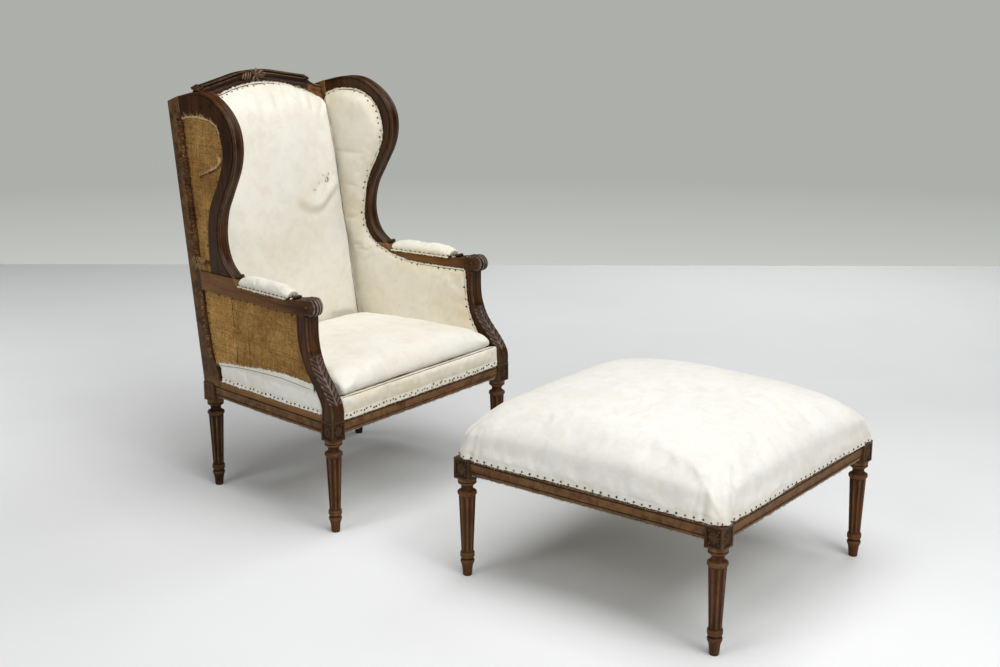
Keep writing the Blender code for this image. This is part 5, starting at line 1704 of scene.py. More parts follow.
def scar(piece):
    """The torn and puckered place on the back, with a crease that curves round below it."""
    def out_of(place):
        return math.hypot(x - place[0], z - place[1])

    for vertex in piece.data.vertices:
        x, z = vertex.co.x, vertex.co.z
        if (LEAN.inverted() @ vertex.co).y > -BACK_BEHIND - 0.012:
            continue
        spot, index, away = crease_tree.find((x, 0, z))
        inside = out_of(SCAR_MIDDLE) < math.hypot(spot.x - SCAR_MIDDLE[0], spot.z - SCAR_MIDDLE[1])
        share = index / len(crease_spots)
        deep = math.sin(math.pi * min(1, max(0, 0.05 + 0.95 * share))) ** 0.6
        off = away if inside else -away
        proud = deep * (8.0 * math.exp(-((off - 0.018) / 0.018) ** 2)
                        - 5.5 * math.exp(-((off + 0.006) / 0.013) ** 2))
        torn = out_of(TEAR)
        turn = math.atan2(z - TEAR[1], x - TEAR[0])
        proud -= 3.6 * math.exp(-(torn / 0.012) ** 2)
        proud += 1.6 * math.cos(8 * turn + 1) * math.exp(-((torn - 0.018) / 0.016) ** 2)
        proud -= 2.4 * math.exp(-(out_of((0.112, 0.772)) / 0.013) ** 2)
        proud += 3.0 * math.exp(-(out_of((0.210, 0.776)) / 0.014) ** 2)
        vertex.co += Vector((0, -proud / 1000, 0))


def stain(piece, spots):
    """Darker soiling round a few spots, each given as x, z, reach and share."""
    marks = piece.data.attributes["soil"].data
    for vertex, mark in zip(piece.data.vertices, marks):
        for x, z, reach, share in spots:
            away = math.hypot(vertex.co.x - x, vertex.co.z - z) / reach
            mark.value = min(1, mark.value + share * math.exp(-away ** 2))


print("the crease has", len(crease_spots), "places")

# %% Folds of the dome, and the washed strip of the seat
def corner_folds(piece):
    """Drag lines in the calico where it is pulled down over the dome's corners."""
    marks = piece.data.attributes["soil"].data
    for vertex, mark in zip(piece.data.vertices, marks):
        across, along = vertex.co.x, vertex.co.y - STOOL_Y
        beside = STOOL_PAD_HALF - 0.075
        past = Vector((max(abs(across) - beside, 0), max(abs(along) - beside, 0)))
        if not (past.x and past.y):
            continue
        turn = math.atan2(past.y, past.x)
        near = min(1, min(past) / 0.030) * max(0, 1 - (vertex.co.z - 0.30) / 0.105) ** 0.7
        wave = math.sin(turn * 15 + 1.5 * fractal.noise(vertex.co * 9)) * near
        outwards = Vector((math.copysign(past.x, across), math.copysign(past.y, along), 0))
        vertex.co += outwards.normalized() * 0.0032 * (wave - 0.4)
        # More soil near the corner is soiling; more again in the valleys of the folds is painted
        # shade.
        mark.value = min(1, mark.value + 0.30 * near * (0.6 - 0.4 * wave))


def wash(piece):
    """The strip of the seat next to its front seam, where the calico stayed pale blue."""
    marked(piece, "washed", lambda co: 0.55 * (1 - rounded(
        co.y - CHAIR_Y - SEAM_FRONT + 0.005 * fractal.noise(co * 14) - 0.002, 0.012)))


# %% [markdown]
# Each pad now gets its waves, dimples and marks, in that order, and its faces are divided once
# more after the dimples. Where a pad ends in a raw edge, its tacks sit on that edge.

# %% Finish the pads
SKIRTS = {   # where the raw edge of a pad leaves its surface, where it ends, and how far it flares
    "stool_pad": (0.3120, 0.2988, 0.0008), "front_edge_roll": (0.3130, 0.2965, 0.0010),
    "side_edge_roll": (0.3200, 0.3085, 0.0042),
}


def on_skirt(name, tree, place, way):
    """The place of a tack on the raw edge below a pad, and the way out of it."""
    top, bottom, flare = SKIRTS[name]
    spot = tree.ray_cast(Vector((place.x, place.y, top)), way, LOOK_IN)[0]
    if spot is None:
        return None
    share = (top - place.z) / (top - bottom)
    return Vector((*(spot - way * (flare * share + 0.0010)).xy, place.z)), -way


RUFFLES = {   # size and height of the waves, and their stretch along each axis
    "seat_pad": (0.10, 0.0022, (1, 0.6, 1)), "back_pad": (0.12, 0.0020, (1.3, 1, 0.5)),
    "side_pad": (0.09, 0.0016, (1, 1, 0.7)), "front_edge_roll": (0.035, 0.0012, (1, 1, 1.5)),
    "side_edge_roll": (0.045, 0.0010, (1, 1, 2)), "arm_rest_pad": (0.04, 0.0010, (1, 1, 1)),
    "stool_pad": (0.16, 0.0030, (1, 1, 1)),
}
FINISH = {   # calico, soiling and fill
    "seat_pad": (calico_cream, 0.12, 0.8), "back_pad": (calico_cream, 0.12, 0.8),
    "side_pad": (calico_cream, 0.50, 0.7), "front_edge_roll": (calico_cream, 0.70, 0.9),
    "side_edge_roll": (calico_border, 0.06, 0.9), "arm_rest_pad": (calico_cream, 0.08, 0.9),
    "stool_pad": (calico_white, 0.10, 0.9),
}
tack_heads = {"chair": [], "footstool": []}
for name, (piece, cap, rests) in soft.items():
    ruffle(piece, *RUFFLES[name])
    if name == "back_pad":
        scar(piece)
    hits = nail_points(name, piece)
    dimple(piece, hits)
    add_modifier(piece, "SUBSURF", levels=1)
    bpy.ops.object.shade_smooth()
    cloth, base, fill = FINISH[name]
    soil(piece, base, [spot for spot, normal, line in hits])
    if name == "seat_pad":
        wash(piece)
    if name == "back_pad":
        stain(piece, [(*TEAR, 0.011, 0.9), (0.109, 0.767, 0.009, 0.6), (0.123, 0.784, 0.008, 0.5),
                      (0.060, 0.745, 0.030, 0.4), (-0.05, 0.62, 0.09, 0.3)])
    if name == "stool_pad":
        corner_folds(piece)
    seats = nail_points(name, piece)
    if name in SKIRTS:
        tree = surface_tree(piece)
        seats = [on_skirt(name, tree, place, way) for place, way, line in tack_spots
                 if line == own_line(name)]
        seats = [(*seat, name) for seat in seats if seat]
    body = "footstool" if name == "stool_pad" else "chair"
    tack_heads[body] += seats
    if name.startswith(("side", "arm")):
        tack_heads[body] += [(MIRROR @ spot, MIRROR @ normal, line) for spot, normal, line in seats]
        for part in settle_pair(piece, name, cloth, "calico", [name]):
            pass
    else:
        settle(piece, name, body, cloth, "calico", name)
        print(name, len(piece.data.polygons), "faces")

# %% [markdown]
# ## Hessian and bottoming
#
# The outside of the chair shows single layers of cloth. Each is a thin grid that fills its
# opening. It is nailed round the border, and it puffs or sags a few millimetres in the middle.

# %% Thin cloths
CLOTH_OUT = WING_HALF - 0.0040          # the hessian lies this far from the legs' line


def support_back(z):
    """How far back the arm support reaches at a height."""
    return min(support_rear, key=lambda point: abs(point[1] - z))[0]


def thickened(piece, thickness):
    """Give a cloth its thickness, and tell its flat area."""
    area = sum(face.area for face in piece.data.polygons)
    add_modifier(piece, "SOLIDIFY", thickness=thickness, offset=0)
    smooth_below(60)
    return area


def thin_cloth(columns, rows, place, thickness=0.0011, waves=0.0012, size=0.05):
    """A cloth laid over place(across, along), a little uneven, with its flat area."""
    piece = skin(columns, rows, place)
    tidy(piece, 60, closed=False)
    for vertex in piece.data.vertices:
        vertex.co += vertex.normal * waves * fractal.fractal(vertex.co / size, 1.0, 2.0, 3)
    return piece, thickened(piece, thickness)


HESSIAN_FOOT = ((0.040, 0.376), (0.084, 0.379), (0.179, 0.381), (0.267, 0.375),
                (0.342, 0.366), (0.389, 0.362), (0.470, 0.352))


def line_height(line, back):
    for (y, z), (next_y, next_z) in zip(line, line[1:]):
        if back <= next_y:
            break
    return z + (next_z - z) * (back - y) / (next_y - y)


def arm_cloth_place(across, along):
    foot = line_height(HESSIAN_FOOT, 0.06 + across * 0.40)
    z = foot + along * (ARM_LOW - 0.0006 - foot)
    front = support_back(z) + 0.0004
    rear = post_front(z) - 0.0004
    puff = 0.0035 * math.sin(math.pi * across) * math.sin(math.pi * along) ** 0.5
    at_tacks = 0.0022 * math.exp(-((across - 0.655) / 0.022) ** 2)
    return side_place(CLOTH_OUT + puff - at_tacks, front + across * (rear - front), z)


arm_cloth, arm_area = thin_cloth(90, 60, arm_cloth_place)
marked(arm_cloth, "faded", lambda co: 0.42 if co.y - CHAIR_Y > 0.371 else 0.06)
print("hessian area", round(arm_area, 4), "square metres")
arm_cloths = settle_pair(arm_cloth, "arm_hessian", hessian_side, "hessian", ["arm_hessian"])

window_line = [tuple(point) for point in evenly(wing_window, 0.006)]


def wing_cloth_place(across, along):
    index = along * (len(window_line) - 1)
    rim_point = along_line(window_line, along)
    foot, head = window_line[0][1] + 0.0005, window_line[-1][1] - 0.0005
    z = foot + (head - foot) * min(1, index / (len(window_line) - 1))
    post_point = Vector((post_front(z) - 0.0005, z))
    spot = post_point.lerp(rim_point, across * 0.992)
    puff = 0.0030 * math.sin(math.pi * across) * math.sin(math.pi * min(along * 1.1, 1)) ** 0.5
    return side_place(CLOTH_OUT + puff, spot.x, max(spot.y, foot))


wing_cloth, wing_area = thin_cloth(36, 90, wing_cloth_place)
print("hessian area", round(wing_area, 4), "square metres")
wing_cloths = settle_pair(wing_cloth, "wing_hessian", hessian_side, "hessian", ["wing_hessian"])

# %% Outside back and bottoming cloths
back_low, back_high = up_slope(SEAT_EDGE_TOP + GAP), up_slope(CREST_TOP) - 0.058


def outside_back_place(across, along):
    puff = 0.004 * math.cos((across - 0.5) * math.pi) * math.sin(math.pi * along)
    return back_place(2 * across - 1, -0.0010 - puff, back_low + along * (back_high - back_low))


outside_back, area = thin_cloth(60, 90, outside_back_place)
settle(outside_back, "back_hessian", "chair", hessian_rear, "hessian", "back_hessian")


def bottoming(name, body, top, front_half, rear_half, front_y, rear_y, splay):
    """A cloth under the rails, with its corners cut away round the blocks."""
    lap = 0.0055

    def place(across, along):
        y = front_y + lap + along * (rear_y - front_y - 2 * lap)
        half = front_half + (rear_half - front_half) * (y - front_y) / (rear_y - front_y) - lap
        sag = 0.007 * math.sin(math.pi * across) * math.sin(math.pi * along)
        return (2 * across - 1) * half, y, top - sag

    def at_block(face):
        x, y = abs(face.center.x), face.center.y
        at_front, at_rear = y - front_y < BLOCK / 2 + 0.001, rear_y - y < BLOCK / 2 + 0.001
        leg_x = front_half if at_front else rear_half
        return (at_front or at_rear) and x > leg_x - BLOCK / 2 * (1 + splay) - 0.001

    piece = skin(120, 120, place)
    edit_faces(piece, at_block)
    bpy.ops.mesh.delete(type="FACE")
    close()
    for vertex in piece.data.vertices:
        vertex.co.z += 0.0012 * fractal.fractal(vertex.co / 0.07, 1.0, 2.0, 3) - 0.0009
    area = thickened(piece, 0.0009)
    settle(piece, name, body, lining_cloth, "bottoming_cloth", name)


bottoming("seat_dust_cover", "chair", 0.2572, FRONT_HALF, REAR_HALF, CHAIR_Y, CHAIR_Y + DEPTH,
          SPLAY)
bottoming("stool_dust_cover", "footstool", 0.2594, STOOL_HALF, STOOL_HALF, STOOL_Y - STOOL_HALF,
          STOOL_Y + STOOL_HALF, 0)

# %% [markdown]
# ## Tacks
#
# One tack head is modelled, a low dome on a thin edge, and it is stamped at every place where a
# tack meets its cloth. Each head is tilted a little by its own hammer blow.

# %% Tack heads
TACK_RADIUS, TACK_HEIGHT = 0.0026, 0.0014


def tack_head():
    deselect()
    bpy.ops.mesh.primitive_uv_sphere_add(segments=8, ring_count=6, radius=1)
    head = bpy.context.object
    for vertex in head.data.vertices:
        squash = TACK_HEIGHT if vertex.co.z > 0 else TACK_HEIGHT * 0.35
        vertex.co = (vertex.co.x * TACK_RADIUS, vertex.co.y * TACK_RADIUS, vertex.co.z * squash)
    bpy.ops.object.shade_smooth()
    return head


def stamped(pattern, matrices, name):
    """Copies of one pattern as a single piece."""
    shape = bmesh.new()
    for matrix in matrices:
        start = len(shape.verts)
        shape.from_mesh(pattern.data)
        shape.verts.ensure_lookup_table()
        bmesh.ops.transform(shape, matrix=matrix, verts=shape.verts[start:])
    mesh = bpy.data.meshes.new(name)
    shape.to_mesh(mesh)
    shape.free()
    for face in mesh.polygons:
        face.use_smooth = True
    return linked(name, mesh)


def head_matrix(spot, normal):
    lean = Vector([rng.uniform(-0.22, 0.22) for _ in range(3)])
    turn = (normal + lean).normalized().to_track_quat("Z", "Y").to_matrix().to_4x4()
    size = rng.uniform(0.85, 1.12)
    return Matrix.Translation(spot + normal * 0.0005) @ turn @ Matrix.Scale(size, 4)


def hessian_tacks(line, spacing, out):
    """Tacks through the side hessian, on both sides of the chair."""
    found = []
    for spot in evenly(line, spacing):
        place = side_place(out, spot.x + rng.uniform(-1, 1) * 0.0015,
                           spot.y + rng.uniform(-1, 1) * 0.002)
        normal = Vector((1, SPLAY, 0)).normalized()
        found += [(place, normal, "hessian"), (MIRROR @ place, MIRROR @ normal, "hessian")]
    return found


post_side = [(post_front(z) - 0.007, z) for z in (0.380, 0.40, 0.42, 0.45, 0.50, 0.545)]
seam_side = [(0.366, 0.380), (0.362, 0.40), (0.367, 0.44), (0.374, 0.50), (0.377, 0.545)]
top_side = [(0.130, 0.5475), (0.435, 0.5475)]
wing_border = [(y + 0.0065, z - 0.004 * (z > 0.95)) for y, z in window_line[4:-4]]
wing_post = [(post_front(z) - 0.0065, z) for z in (0.63, 0.75, 0.88, 0.98)]
for line, spacing, proud in (
        (post_side, 0.026, 0.0010), (seam_side, 0.024, 0.0015), (top_side, 0.030, 0.0010),
        (wing_border, 0.048, 0.0004), (wing_post, 0.028, 0.0010)):
    tack_heads["chair"] += hessian_tacks(line, spacing, CLOTH_OUT + proud)
rear_way = (LEAN.to_3x3() @ Vector((0, 1, 0))).normalized()
for up in [back_low + 0.012 + step * (back_high - back_low - 0.024) / 24 for step in range(25)]:
    for across in (-0.975, 0.975):
        tack_heads["chair"].append((back_place(across, -0.0018, up), rear_way, "rear"))
for step in range(-11, 12):
    for up in (back_low + 0.012, back_high - 0.012):
        tack_heads["chair"].append((back_place(step / 11.6, -0.0018, up), rear_way, "rear"))
head_pattern = tack_head()
for body, hits in tack_heads.items():
    matrices = [head_matrix(spot, normal) for spot, normal, name in hits]
    heads = stamped(head_pattern, matrices, "tacks")
    settle(heads, f"{body}_tacks", body, tack_iron, "spring_wire")
    print(body, "has", len(hits), "tacks")
bpy.data.objects.remove(head_pattern)

# %% [markdown]
# ## Raw edges and loose threads
#
# The cloth ends in a torn edge a few millimetres past its tacks. A torn strip is a ribbon whose
# outer side wanders, and loose threads curl away from it. Each thread is a three-sided tube,
# thinner than a millimetre. Where the hessian of a wing is rolled back, its edge is a bundle of
# thicker strands that wind about each other.

# %% Torn strips and threads
TORN_THICKNESS = 0.0006


def bridged(shape, before, ring, closed=False):
    """Faces from one row of vertices to the next."""
    for a in range(len(ring) if closed else len(ring) - 1):
        b = (a + 1) % len(ring)
        shape.faces.new((before[a], before[b], ring[b], ring[a]))


def round_about(heading, turn):
    """The way square to a heading, turned round it by an angle."""
    side = heading.orthogonal().normalized()
    return side * math.cos(turn) + heading.cross(side) * math.sin(turn)


class Edging:
    """A mesh that collects torn strips and threads for one cloth."""

    def __init__(self):
        self.strips, self.threads = bmesh.new(), bmesh.new()

    def tear(self, line, way, face, reach, count, length, mirrored=True, strip=True):
        """A strip beyond a line towards way, facing out, and threads per metre of it."""
        spots = evenly(line, 0.0022)
        ways = [way(spot) if callable(way) else Vector(way) for spot in spots]
        face = Vector(face).normalized()
        before = None
        for spot, out in zip(spots, ways):
            wave = 0.5 + 0.5 * fractal.noise(spot * 160)
            tip = reach * max(0.12, 0.25 + 0.9 * wave + rng.uniform(-0.16, 0.16))
            pair = [self.strips.verts.new(spot + face * 0.0004),
                    self.strips.verts.new(spot + out * tip + face * rng.uniform(0.0004, 0.0012))]
            if before and strip:
                self.strips.faces.new((before[0], pair[0], pair[1], before[1]))
            before = pair
        total = sum((b - a).length for a, b in zip(spots, spots[1:]))
        for _ in range(int(total * count)):
            index = rng.randrange(len(spots) - 1)
            along = (spots[index + 1] - spots[index]).normalized()
            start = spots[index] + ways[index] * reach * rng.uniform(0.1, 0.7) + face * 0.0006
            heading = ways[index] + along * rng.uniform(-1.1, 1.1) + face * rng.uniform(0, 0.5)
            self.thread(start, heading, length * rng.uniform(0.35, 1.2))
        if mirrored:
            self.tear([MIRROR @ Vector(spot) for spot in line],
                      (lambda spot: MIRROR @ way(MIRROR @ spot)) if callable(way)
                      else MIRROR @ Vector(way), MIRROR @ face, reach, count, length, False, strip)

    def skirt(self, name, piece, spots, way, turned=Matrix.Identity(4)):
        """The raw edge of a pad, from its surface down over the frame."""
        top, bottom, flare = SKIRTS[name]
        tree, before = surface_tree(piece), None
        for spot in evenly(spots, 0.0024):
            hit = tree.ray_cast(Vector((spot.x, spot.y, top)), way, LOOK_IN)[0]
            if hit is None:
                before = None
                continue
            torn = bottom + 0.0016 * fractal.noise(hit * 120) + rng.uniform(-0.0006, 0.0006)
            ring = []
            for share, out in ((0, -0.0006), (0.3, 0.0002), (0.75, 0.0004),
                               (1, rng.uniform(0.0, 0.0010))):
                place = (*(hit - way * (out + flare * share)).xy, top + (torn - top) * share)
                ring.append(self.strips.verts.new(turned @ Vector(place)))
            if before:
                bridged(self.strips, before, ring)
            before = ring
            if rng.random() < 0.35:
                along = Vector((way.y, -way.x, 0)) * rng.uniform(-1.2, 1.2)
                heading = Vector((0, 0, -1)) + along - way * 0.5
                self.thread(ring[3].co, heading, rng.uniform(0.002, 0.006))

    def tube_ring(self, spot, heading, thick, turns, before):
        """One more ring of a tube, joined to the ring before it, or else closed."""
        ring = [self.threads.verts.new(spot + round_about(heading, turn) * thick) for turn in turns]
        if before:
            bridged(self.threads, before, ring, closed=True)
        else:
            self.threads.faces.new(ring[::-1])
        return ring

    def thread(self, start, heading, length, radius=0.00034):
        curl = Vector([rng.uniform(-0.5, 0.5) for _ in range(3)]) + Vector((0, 0, -0.15))
        spot, ring = Vector(start), None
        for step in range(5):
            heading = (heading + curl * 0.35 * step).normalized()
            ring = self.tube_ring(spot, heading, radius * (1 - 0.15 * step),
                                  (0, math.tau / 3, -math.tau / 3), ring)
            spot = spot + heading * length / 4
        self.threads.faces.new(ring)

    def roll(self, line, strands=6, spread=0.0030, thick=0.0011, turns=2.5):
        """A rolled edge: strands that wind about a line and stray from it."""
        spots = evenly(line, 0.0020)
        for strand in range(strands):
            ring = None
            for step, spot in enumerate(spots):
                after = spots[min(step + 1, len(spots) - 1)]
                ahead = (after - spots[max(step - 1, 0)]).normalized()
                around = math.tau * (strand / strands + turns * step / len(spots))
                wander = fractal.noise(spot * 110 + Vector((strand * 7, 0, 0)))
                middle = spot + round_about(ahead, around) * (spread * (0.75 + 0.8 * wander))
                ring = self.tube_ring(middle, ahead, thick,
                                      [corner * math.tau / 5 for corner in range(5)], ring)
            self.threads.faces.new(ring)

    def made(self, name, body, material, slot, dirt=0.55):
        pieces = []
        loose = [vertex for vertex in self.strips.verts if not vertex.link_faces]
        bmesh.ops.delete(self.strips, geom=loose, context="VERTS")
        for shape in (self.strips, self.threads):
            mesh = bpy.data.meshes.new(name)
            shape.to_mesh(mesh)
            shape.free()
            pieces.append(linked(name, mesh))
        add_modifier(pieces[0], "SOLIDIFY", thickness=TORN_THICKNESS, offset=0)
        piece = settle(joined(pieces, name), name, body, material, slot)
        marked(piece, "soil", lambda co: dirt)
        print(name, len(piece.data.polygons), "faces")


# %% Edges of the chair's calico
calico_edge, pad_edge = Edging(), Edging()
roll_end = axis_x(-0.02) - SUPPORT_HALF - 0.0012
calico_edge.skirt("front_edge_roll", front_roll,
                  [(x, CHAIR_Y - 0.06, 0) for x in (-roll_end, roll_end)], Vector((0, 1, 0)))


def past_nails(spot):
    """The way out of the side lining at a place on its nailed edge."""
    flat = Vector((spot.y - CHAIR_Y, spot.z))
    out = min(zip(nail_line, nail_out), key=lambda pair: (pair[0] - flat).length)[1]
    return Vector((-SPLAY * out.x, out.x, out.y))


lining_line = [side_place(-0.0246 + 0.0042 * rounded(point.y - 0.60, 0.05), *point)
               for point in nail_line if point.y > 0.38]
calico_edge.tear(lining_line, past_nails, (-1, 0, 0), 0.0056, 300, 0.005)
crest_edge = [back_place(step / 40, 0.0372, back_head - BACK_DROP * (step / 40) ** 2 - 0.0015,
                         SIDE_PAD_FACE) for step in range(-38, 39)]
calico_edge.tear(crest_edge, LEAN.to_3x3() @ Vector((0, 0, 1)), (0, -1, 0.14), 0.0065, 200, 0.007,
                 False)
for hand in (-1, 1):
    pad_edge.tear([side_place(hand * 0.0236, y, ARM_TOP + 0.0040)
                   for y in (PAD_START + 0.004, arm_pad_end - 0.004)],
                  (hand * 0.25, 0, -1), (hand, 0, 0.3), 0.0052, 280, 0.005)
pad_edge.tear([side_place(out, PAD_START - 0.001, ARM_TOP + 0.0035) for out in (-0.015, 0.015)],
              (0, -0.3, -1), (0, -1, 0.3), 0.0030, 300, 0.004)
pad_edge.made("arm_pad_edges", "chair", calico_cream, "calico", dirt=0.95)

# %% [markdown]
# Below the side hessian, the calico of the side roll turns up into a border. Its rows of
# vertices climb from the roll's face, over a fold, to the torn edge.

# %% Border below the side hessian
border_edge = Edging()
BORDER_TOP = ((0.050, 0.366), (0.057, 0.367), (0.179, 0.373), (0.257, 0.370), (0.348, 0.365),
              (0.470, 0.350))
for side in (Matrix.Identity(4), MIRROR):
    inwards = (SIDE_MATRIX.to_3x3() @ Vector((-1, 0, 0))).normalized()
    border_edge.skirt("side_edge_roll", side_roll, [side_place(0.06, side_roll_start - 0.020, 0),
                                                    side_place(0.06, side_roll_end - 0.0005, 0)],
                      inwards, side)
    before = None
    for step in range(190):
        y = 0.052 + step * (side_roll_end - 0.0008 - 0.052) / 189
        fold, head = line_height(BORDER_TOP, y), line_height(HESSIAN_FOOT, y)
        head += 0.0050 + 0.0030 * fractal.noise((y * 90, 3, 1)) + rng.uniform(-0.0010, 0.0010)
        rows = ((0.0090, 0.340), (0.0142, 0.348), (CLOTH_OUT + 0.0030, fold - 0.0012),
                (CLOTH_OUT + 0.0002, fold), (CLOTH_OUT + 0.0042, fold + 0.0014),
                (CLOTH_OUT + 0.0030 + rng.uniform(0, 0.0012), head))
        ring = [border_edge.strips.verts.new(
            side @ side_place(out, max(y, support_back(z) + 0.0008), z)) for out, z in rows]
        if before:
            bridged(border_edge.strips, before, ring)
        before = ring
        if rng.random() < 0.5:
            heading = Vector((0, rng.uniform(-1, 1), 1)) - (side.to_3x3() @ inwards) * 0.3
            border_edge.thread(ring[5].co, heading, rng.uniform(0.003, 0.009))
border_edge.made("chair_border_edges", "chair", calico_border, "calico")
calico_edge.made("chair_calico_edges", "chair", calico_cream, "calico")

# %% Edges of the stool's calico
SKIRT_HALF = 0.3562
stool_edge = Edging()
for spin in STOOL_TURNS:
    side = [spin @ Vector((x, BEFORE_PAD, 0)) for x in (-SKIRT_HALF, SKIRT_HALF)]
    stool_edge.skirt("stool_pad", stool_pad, side, spin.to_3x3() @ Vector((0, 1, 0)))
stool_edge.made("stool_calico_edges", "footstool", calico_white, "calico")

# %% Edges of the hessian
scraps_and_shadow, pale_jute, jute_edge = Edging(), Edging(), Edging()
for bottom, top, reach in ((0.365, 0.548, 0.0055), (0.612, 1.000, 0.0150)):
    steps = [bottom + (top - bottom) * step / 16 for step in range(17)]
    line = [side_place(POST_WIDTH / 2 + GAP, post_front(z) + 0.0030 + 0.0012 * math.sin(z * 70), z)
            for z in steps]
    scraps_and_shadow.tear(line, (0, 1, 0), (1, 0, 0), reach * 0.8, 600, 0.010)
    scraps_and_shadow.tear(line, (-0.28, -1, 0), (1, 0, 0), reach * 0.8, 600, 0.010)
    for share in (-0.7, -0.2, 0.4):
        jute_edge.tear([spot + Vector((0.0010, reach * share, 0)) for spot in line],
                       (0, 1, 0), (1, 0, 0), 0.0050, 210, 0.010, strip=False)
fold = [side_place(CLOTH_OUT + 0.0030, y - 0.002, z - 0.004) for y, z in window_line if z > 0.975]
pale_jute.tear(fold, (0, 0, 1), (1, 0, 0), 0.0060, 520, 0.014)
pale_jute.tear(fold, (0, 0, -1), (1, 0, 0), 0.0035, 300, 0.010, strip=False)
FLAP = smooth_line([(0.402, 0.917), (0.399, 0.906), (0.408, 0.894), (0.432, 0.882), (0.460, 0.871),
                    (0.488, 0.862)])
flap_line = [side_place(CLOTH_OUT + 0.0062, y, z) for y, z in FLAP]
for spots in (flap_line, [MIRROR @ spot for spot in flap_line]):
    pale_jute.roll(spots)
# This dark strip of jute below the flap is a painted shadow under it.
scraps_and_shadow.tear([side_place(CLOTH_OUT + 0.0032, y, z - 0.001) for y, z in FLAP], (0, 0, -1), (1, 0, 0),
            0.0075, 300, 0.008)
for way in (1, -1):
    pale_jute.tear(flap_line, (0.3, 0, way), (1, 0, 0), 0.0050, 260, 0.009, strip=False)
for out, z in ((0.0035, 0.634), (0.0070, 0.642), (0.0070, 0.626)):
    pale_jute.tear([side_place(CLOTH_OUT + out, y, z) for y in (0.484, 0.534)],
                   (0, 0, -1), (1, 0, 0), 0.0080, 900, 0.020, strip=z == 0.634)
scraps_and_shadow.tear([side_place(CLOTH_OUT + 0.0030, y, 0.634) for y in (0.466, 0.500)],
            (0, 0, -1), (1, 0, 0), 0.0060, 900, 0.018)
for hand, collect in ((-1, scraps_and_shadow), (1, jute_edge)):
    collect.tear([side_place(CLOTH_OUT + 0.0024, y, z) for y, z in seam_side], (0, hand, 0),
                 (1, 0, 0), 0.0026, 160, 0.006)
pale_jute.made("pale_jute_edges", "chair", jute_pale, "hessian")
jute_edge.made("jute_edges", "chair", jute_loose, "hessian")
scraps_and_shadow.made("jute_scraps", "chair", jute_dark, "hessian")

# %% Edges of the bottoming
for body, front, rear, front_y, rear_y in (
        ("chair", FRONT_HALF, REAR_HALF, CHAIR_Y, CHAIR_Y + DEPTH),
        ("footstool", STOOL_HALF, STOOL_HALF, STOOL_Y - STOOL_HALF, STOOL_Y + STOOL_HALF)):
    edging = Edging()
    block = BLOCK / 2 + 0.002
    out = 0.0105
    for y, half, hand in ((front_y, front, -1), (rear_y, rear, 1)):
        line = [(x, y + hand * out, RAIL_LOW - 0.0002) for x in (block - half, half - block)]
        edging.tear(line, (0, hand * 0.25, -1), (0, hand, 0), 0.0042, 220, 0.005, False)
    line = [(front + out - 0.002, front_y + block, RAIL_LOW - 0.0002),
            (rear + out, rear_y - block, RAIL_LOW - 0.0002)]
    edging.tear(line, (0.25, 0, -1), (1, 0, 0), 0.0042, 220, 0.005)
    edging.made(f"{body}_bottoming_edges", body, lining_cloth, "bottoming_cloth")

# %% [markdown]
# ## Seams
#
# Two dark blue-grey lines are easy to see from across the room: the crease where the back meets
# the linings, and the seam between the seat and its front roll. A thin dark cord lies in each: in
# the crease it is painted shade, and along the seat it is the seam's thread and painted shade.
# Finer ones paint the shadow under the fold of the side border, and mark the loose threads round
# the tear in the back.

# %% Cords
def seam_cord(points, radius, name):
    curve = bpy.data.curves.new(name, "CURVE")
    curve.dimensions = "3D"
    curve.bevel_depth = radius
    curve.bevel_resolution = 2
    curve.use_fill_caps = True
    spline = curve.splines.new("POLY")
    spline.points.add(len(points) - 1)
    for point, place in zip(spline.points, points):
        point.co = (*place, 1)
    piece = linked(name, curve)
    make_active(piece)
    bpy.ops.object.convert(target="MESH")
    return piece


def lay_cord(trees, spots, way, proud):
    """Where a cord lies on the nearest surface, for spots near a crease."""
    laid = []
    for spot in spots:
        start = spot - way * 0.12
        hits = [hit for hit in (tree.ray_cast(start, way, 0.2)[0] for tree in trees) if hit]
        if hits:
            laid.append(min(hits, key=lambda hit: (hit - start).length) - way * proud)
    return laid


# %% Seams
# The cords are dark: painted shade in the back's creases, a painted shadow under the border's fold,
# and the seat's seam thread with painted shade.
thread = new_shader("seam_thread")
fade = thread.noise(thread.place(), 60.0, 3.0)
seam_thread = thread.surface(
    Base_Color=thread.ramp(fade, (0.35, (0.10, 0.12, 0.12)), (0.7, (0.30, 0.33, 0.32))),
    Roughness=0.9)
pad_trees = [surface_tree(piece) for piece in (back_pad, side_pad)]
crease = [back_place(1, BACK_BEHIND + BACK_THICKNESS - 0.010, up_slope(z), seam_out(z) + 0.0010)
          for z in [0.372 + step * 0.636 / 90 for step in range(91)]]
crease = lay_cord(pad_trees, crease, Vector((0.75, 0.66, 0)), 0.0005)
cords = [seam_cord(spots, 0.0012, "seam") for spots in (crease, [MIRROR @ spot for spot in crease])]
half = axis_x(SEAM_FRONT) - 0.026
front_seam = [Vector((x / 60 * half, CHAIR_Y + SEAM_FRONT, SEAM_TOP + 0.0006))
              for x in range(-60, 61)]
seat_trees = [surface_tree(piece) for piece in (seat_pad, front_roll)]
front_seam = lay_cord(seat_trees, front_seam, Vector((0, 0.83, -0.56)), 0.0005)
cords.append(seam_cord(front_seam, 0.0013, "seam"))
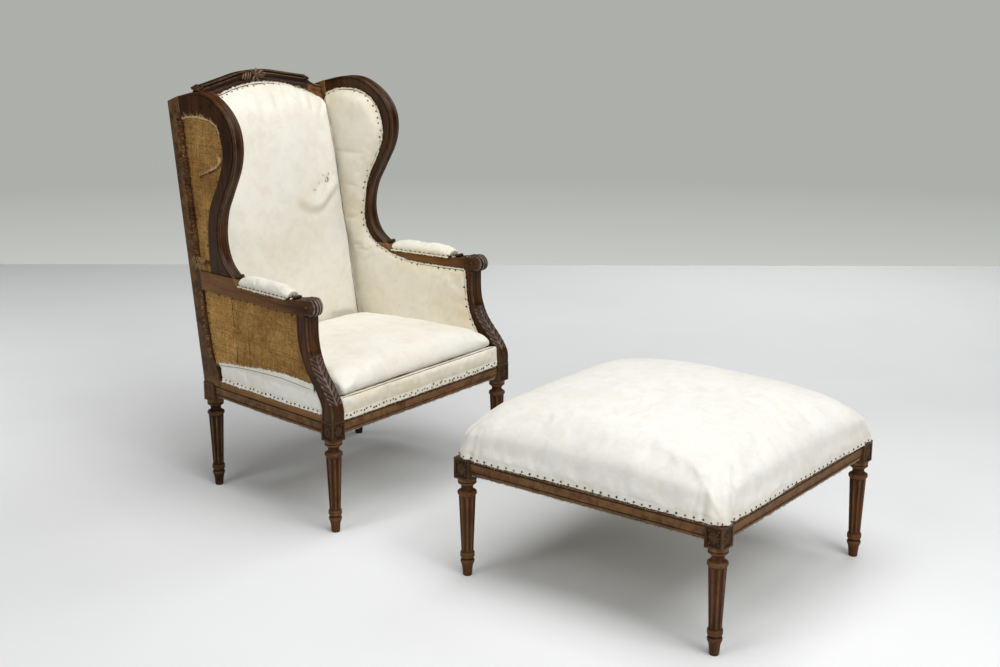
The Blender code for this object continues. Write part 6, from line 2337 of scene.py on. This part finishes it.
border_line = [side_place(CLOTH_OUT + 0.0034, y, line_height(BORDER_TOP, y) - 0.0002)
               for y in [0.066 + step * 0.395 / 60 for step in range(61)]]
for side in (Matrix.Identity(4), MIRROR):
    cords.append(seam_cord([side @ spot for spot in border_line], 0.0007, "seam"))
settle(joined(cords, "seams"), "seams", "chair", seam_thread, "calico")
print(len(cords), "cords in the seams")

# %% Loose threads round the tear
FRAYS = (   # middle of a loose thread's arc on the back, its radius, two angles and its thickness
    (0.166, 0.790, 0.0062, -80, 70, 0.0011), (0.161, 0.788, 0.0040, 120, 290, 0.0008),
    (0.171, 0.806, 0.0050, -70, 30, 0.0006), (0.150, 0.799, 0.0060, 60, 150, 0.0004),
    (0.112, 0.774, 0.0070, 215, 320, 0.0005), (0.123, 0.787, 0.0070, -60, 40, 0.0004),
)
frays = []
for x, z, reach, start, end, thick in FRAYS:
    turns = [math.radians(start + (end - start) * step / 12) for step in range(13)]
    arc = [Vector((x + reach * math.cos(turn), CHAIR_Y + 0.49, z + reach * math.sin(turn)))
           for turn in turns]
    arc = lay_cord(pad_trees[:1], arc, Vector((0, 1, 0)), thick * 0.3)
    frays.append(seam_cord(arc, thick, "fray"))
settle(joined(frays, "frays"), "frays", "chair", jute_dark, "calico")
print(len(FRAYS), "loose threads")

# %% [markdown]
# ## Timber, webbing and springs inside
#
# The glue blocks, the stuffing rails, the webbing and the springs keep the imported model's own
# shapes, which are hidden under the cloth. They get their finishes here.

# %% Finishes of the hidden pieces
HIDDEN = {
    inside_beech: ("brace", "back_bottom_rail", "stuffing_rail", "upright"),
    webbing_jute: ("webbing",),
    spring_wire: ("spring",),
}
for material, words in HIDDEN.items():
    for name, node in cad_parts.items():
        if any(word in name for word in words):
            node.data.materials.clear()
            node.data.materials.append(material)
            print(name, "gets", material.name)

# %% [markdown]
# ## Size of the dressed model

# %% Print the dressed model's box and finish
for pattern in (leg_pattern, rosette_pattern):
    bpy.data.objects.remove(pattern)
low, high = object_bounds()
print("visual box from", low[:], "to", high[:])
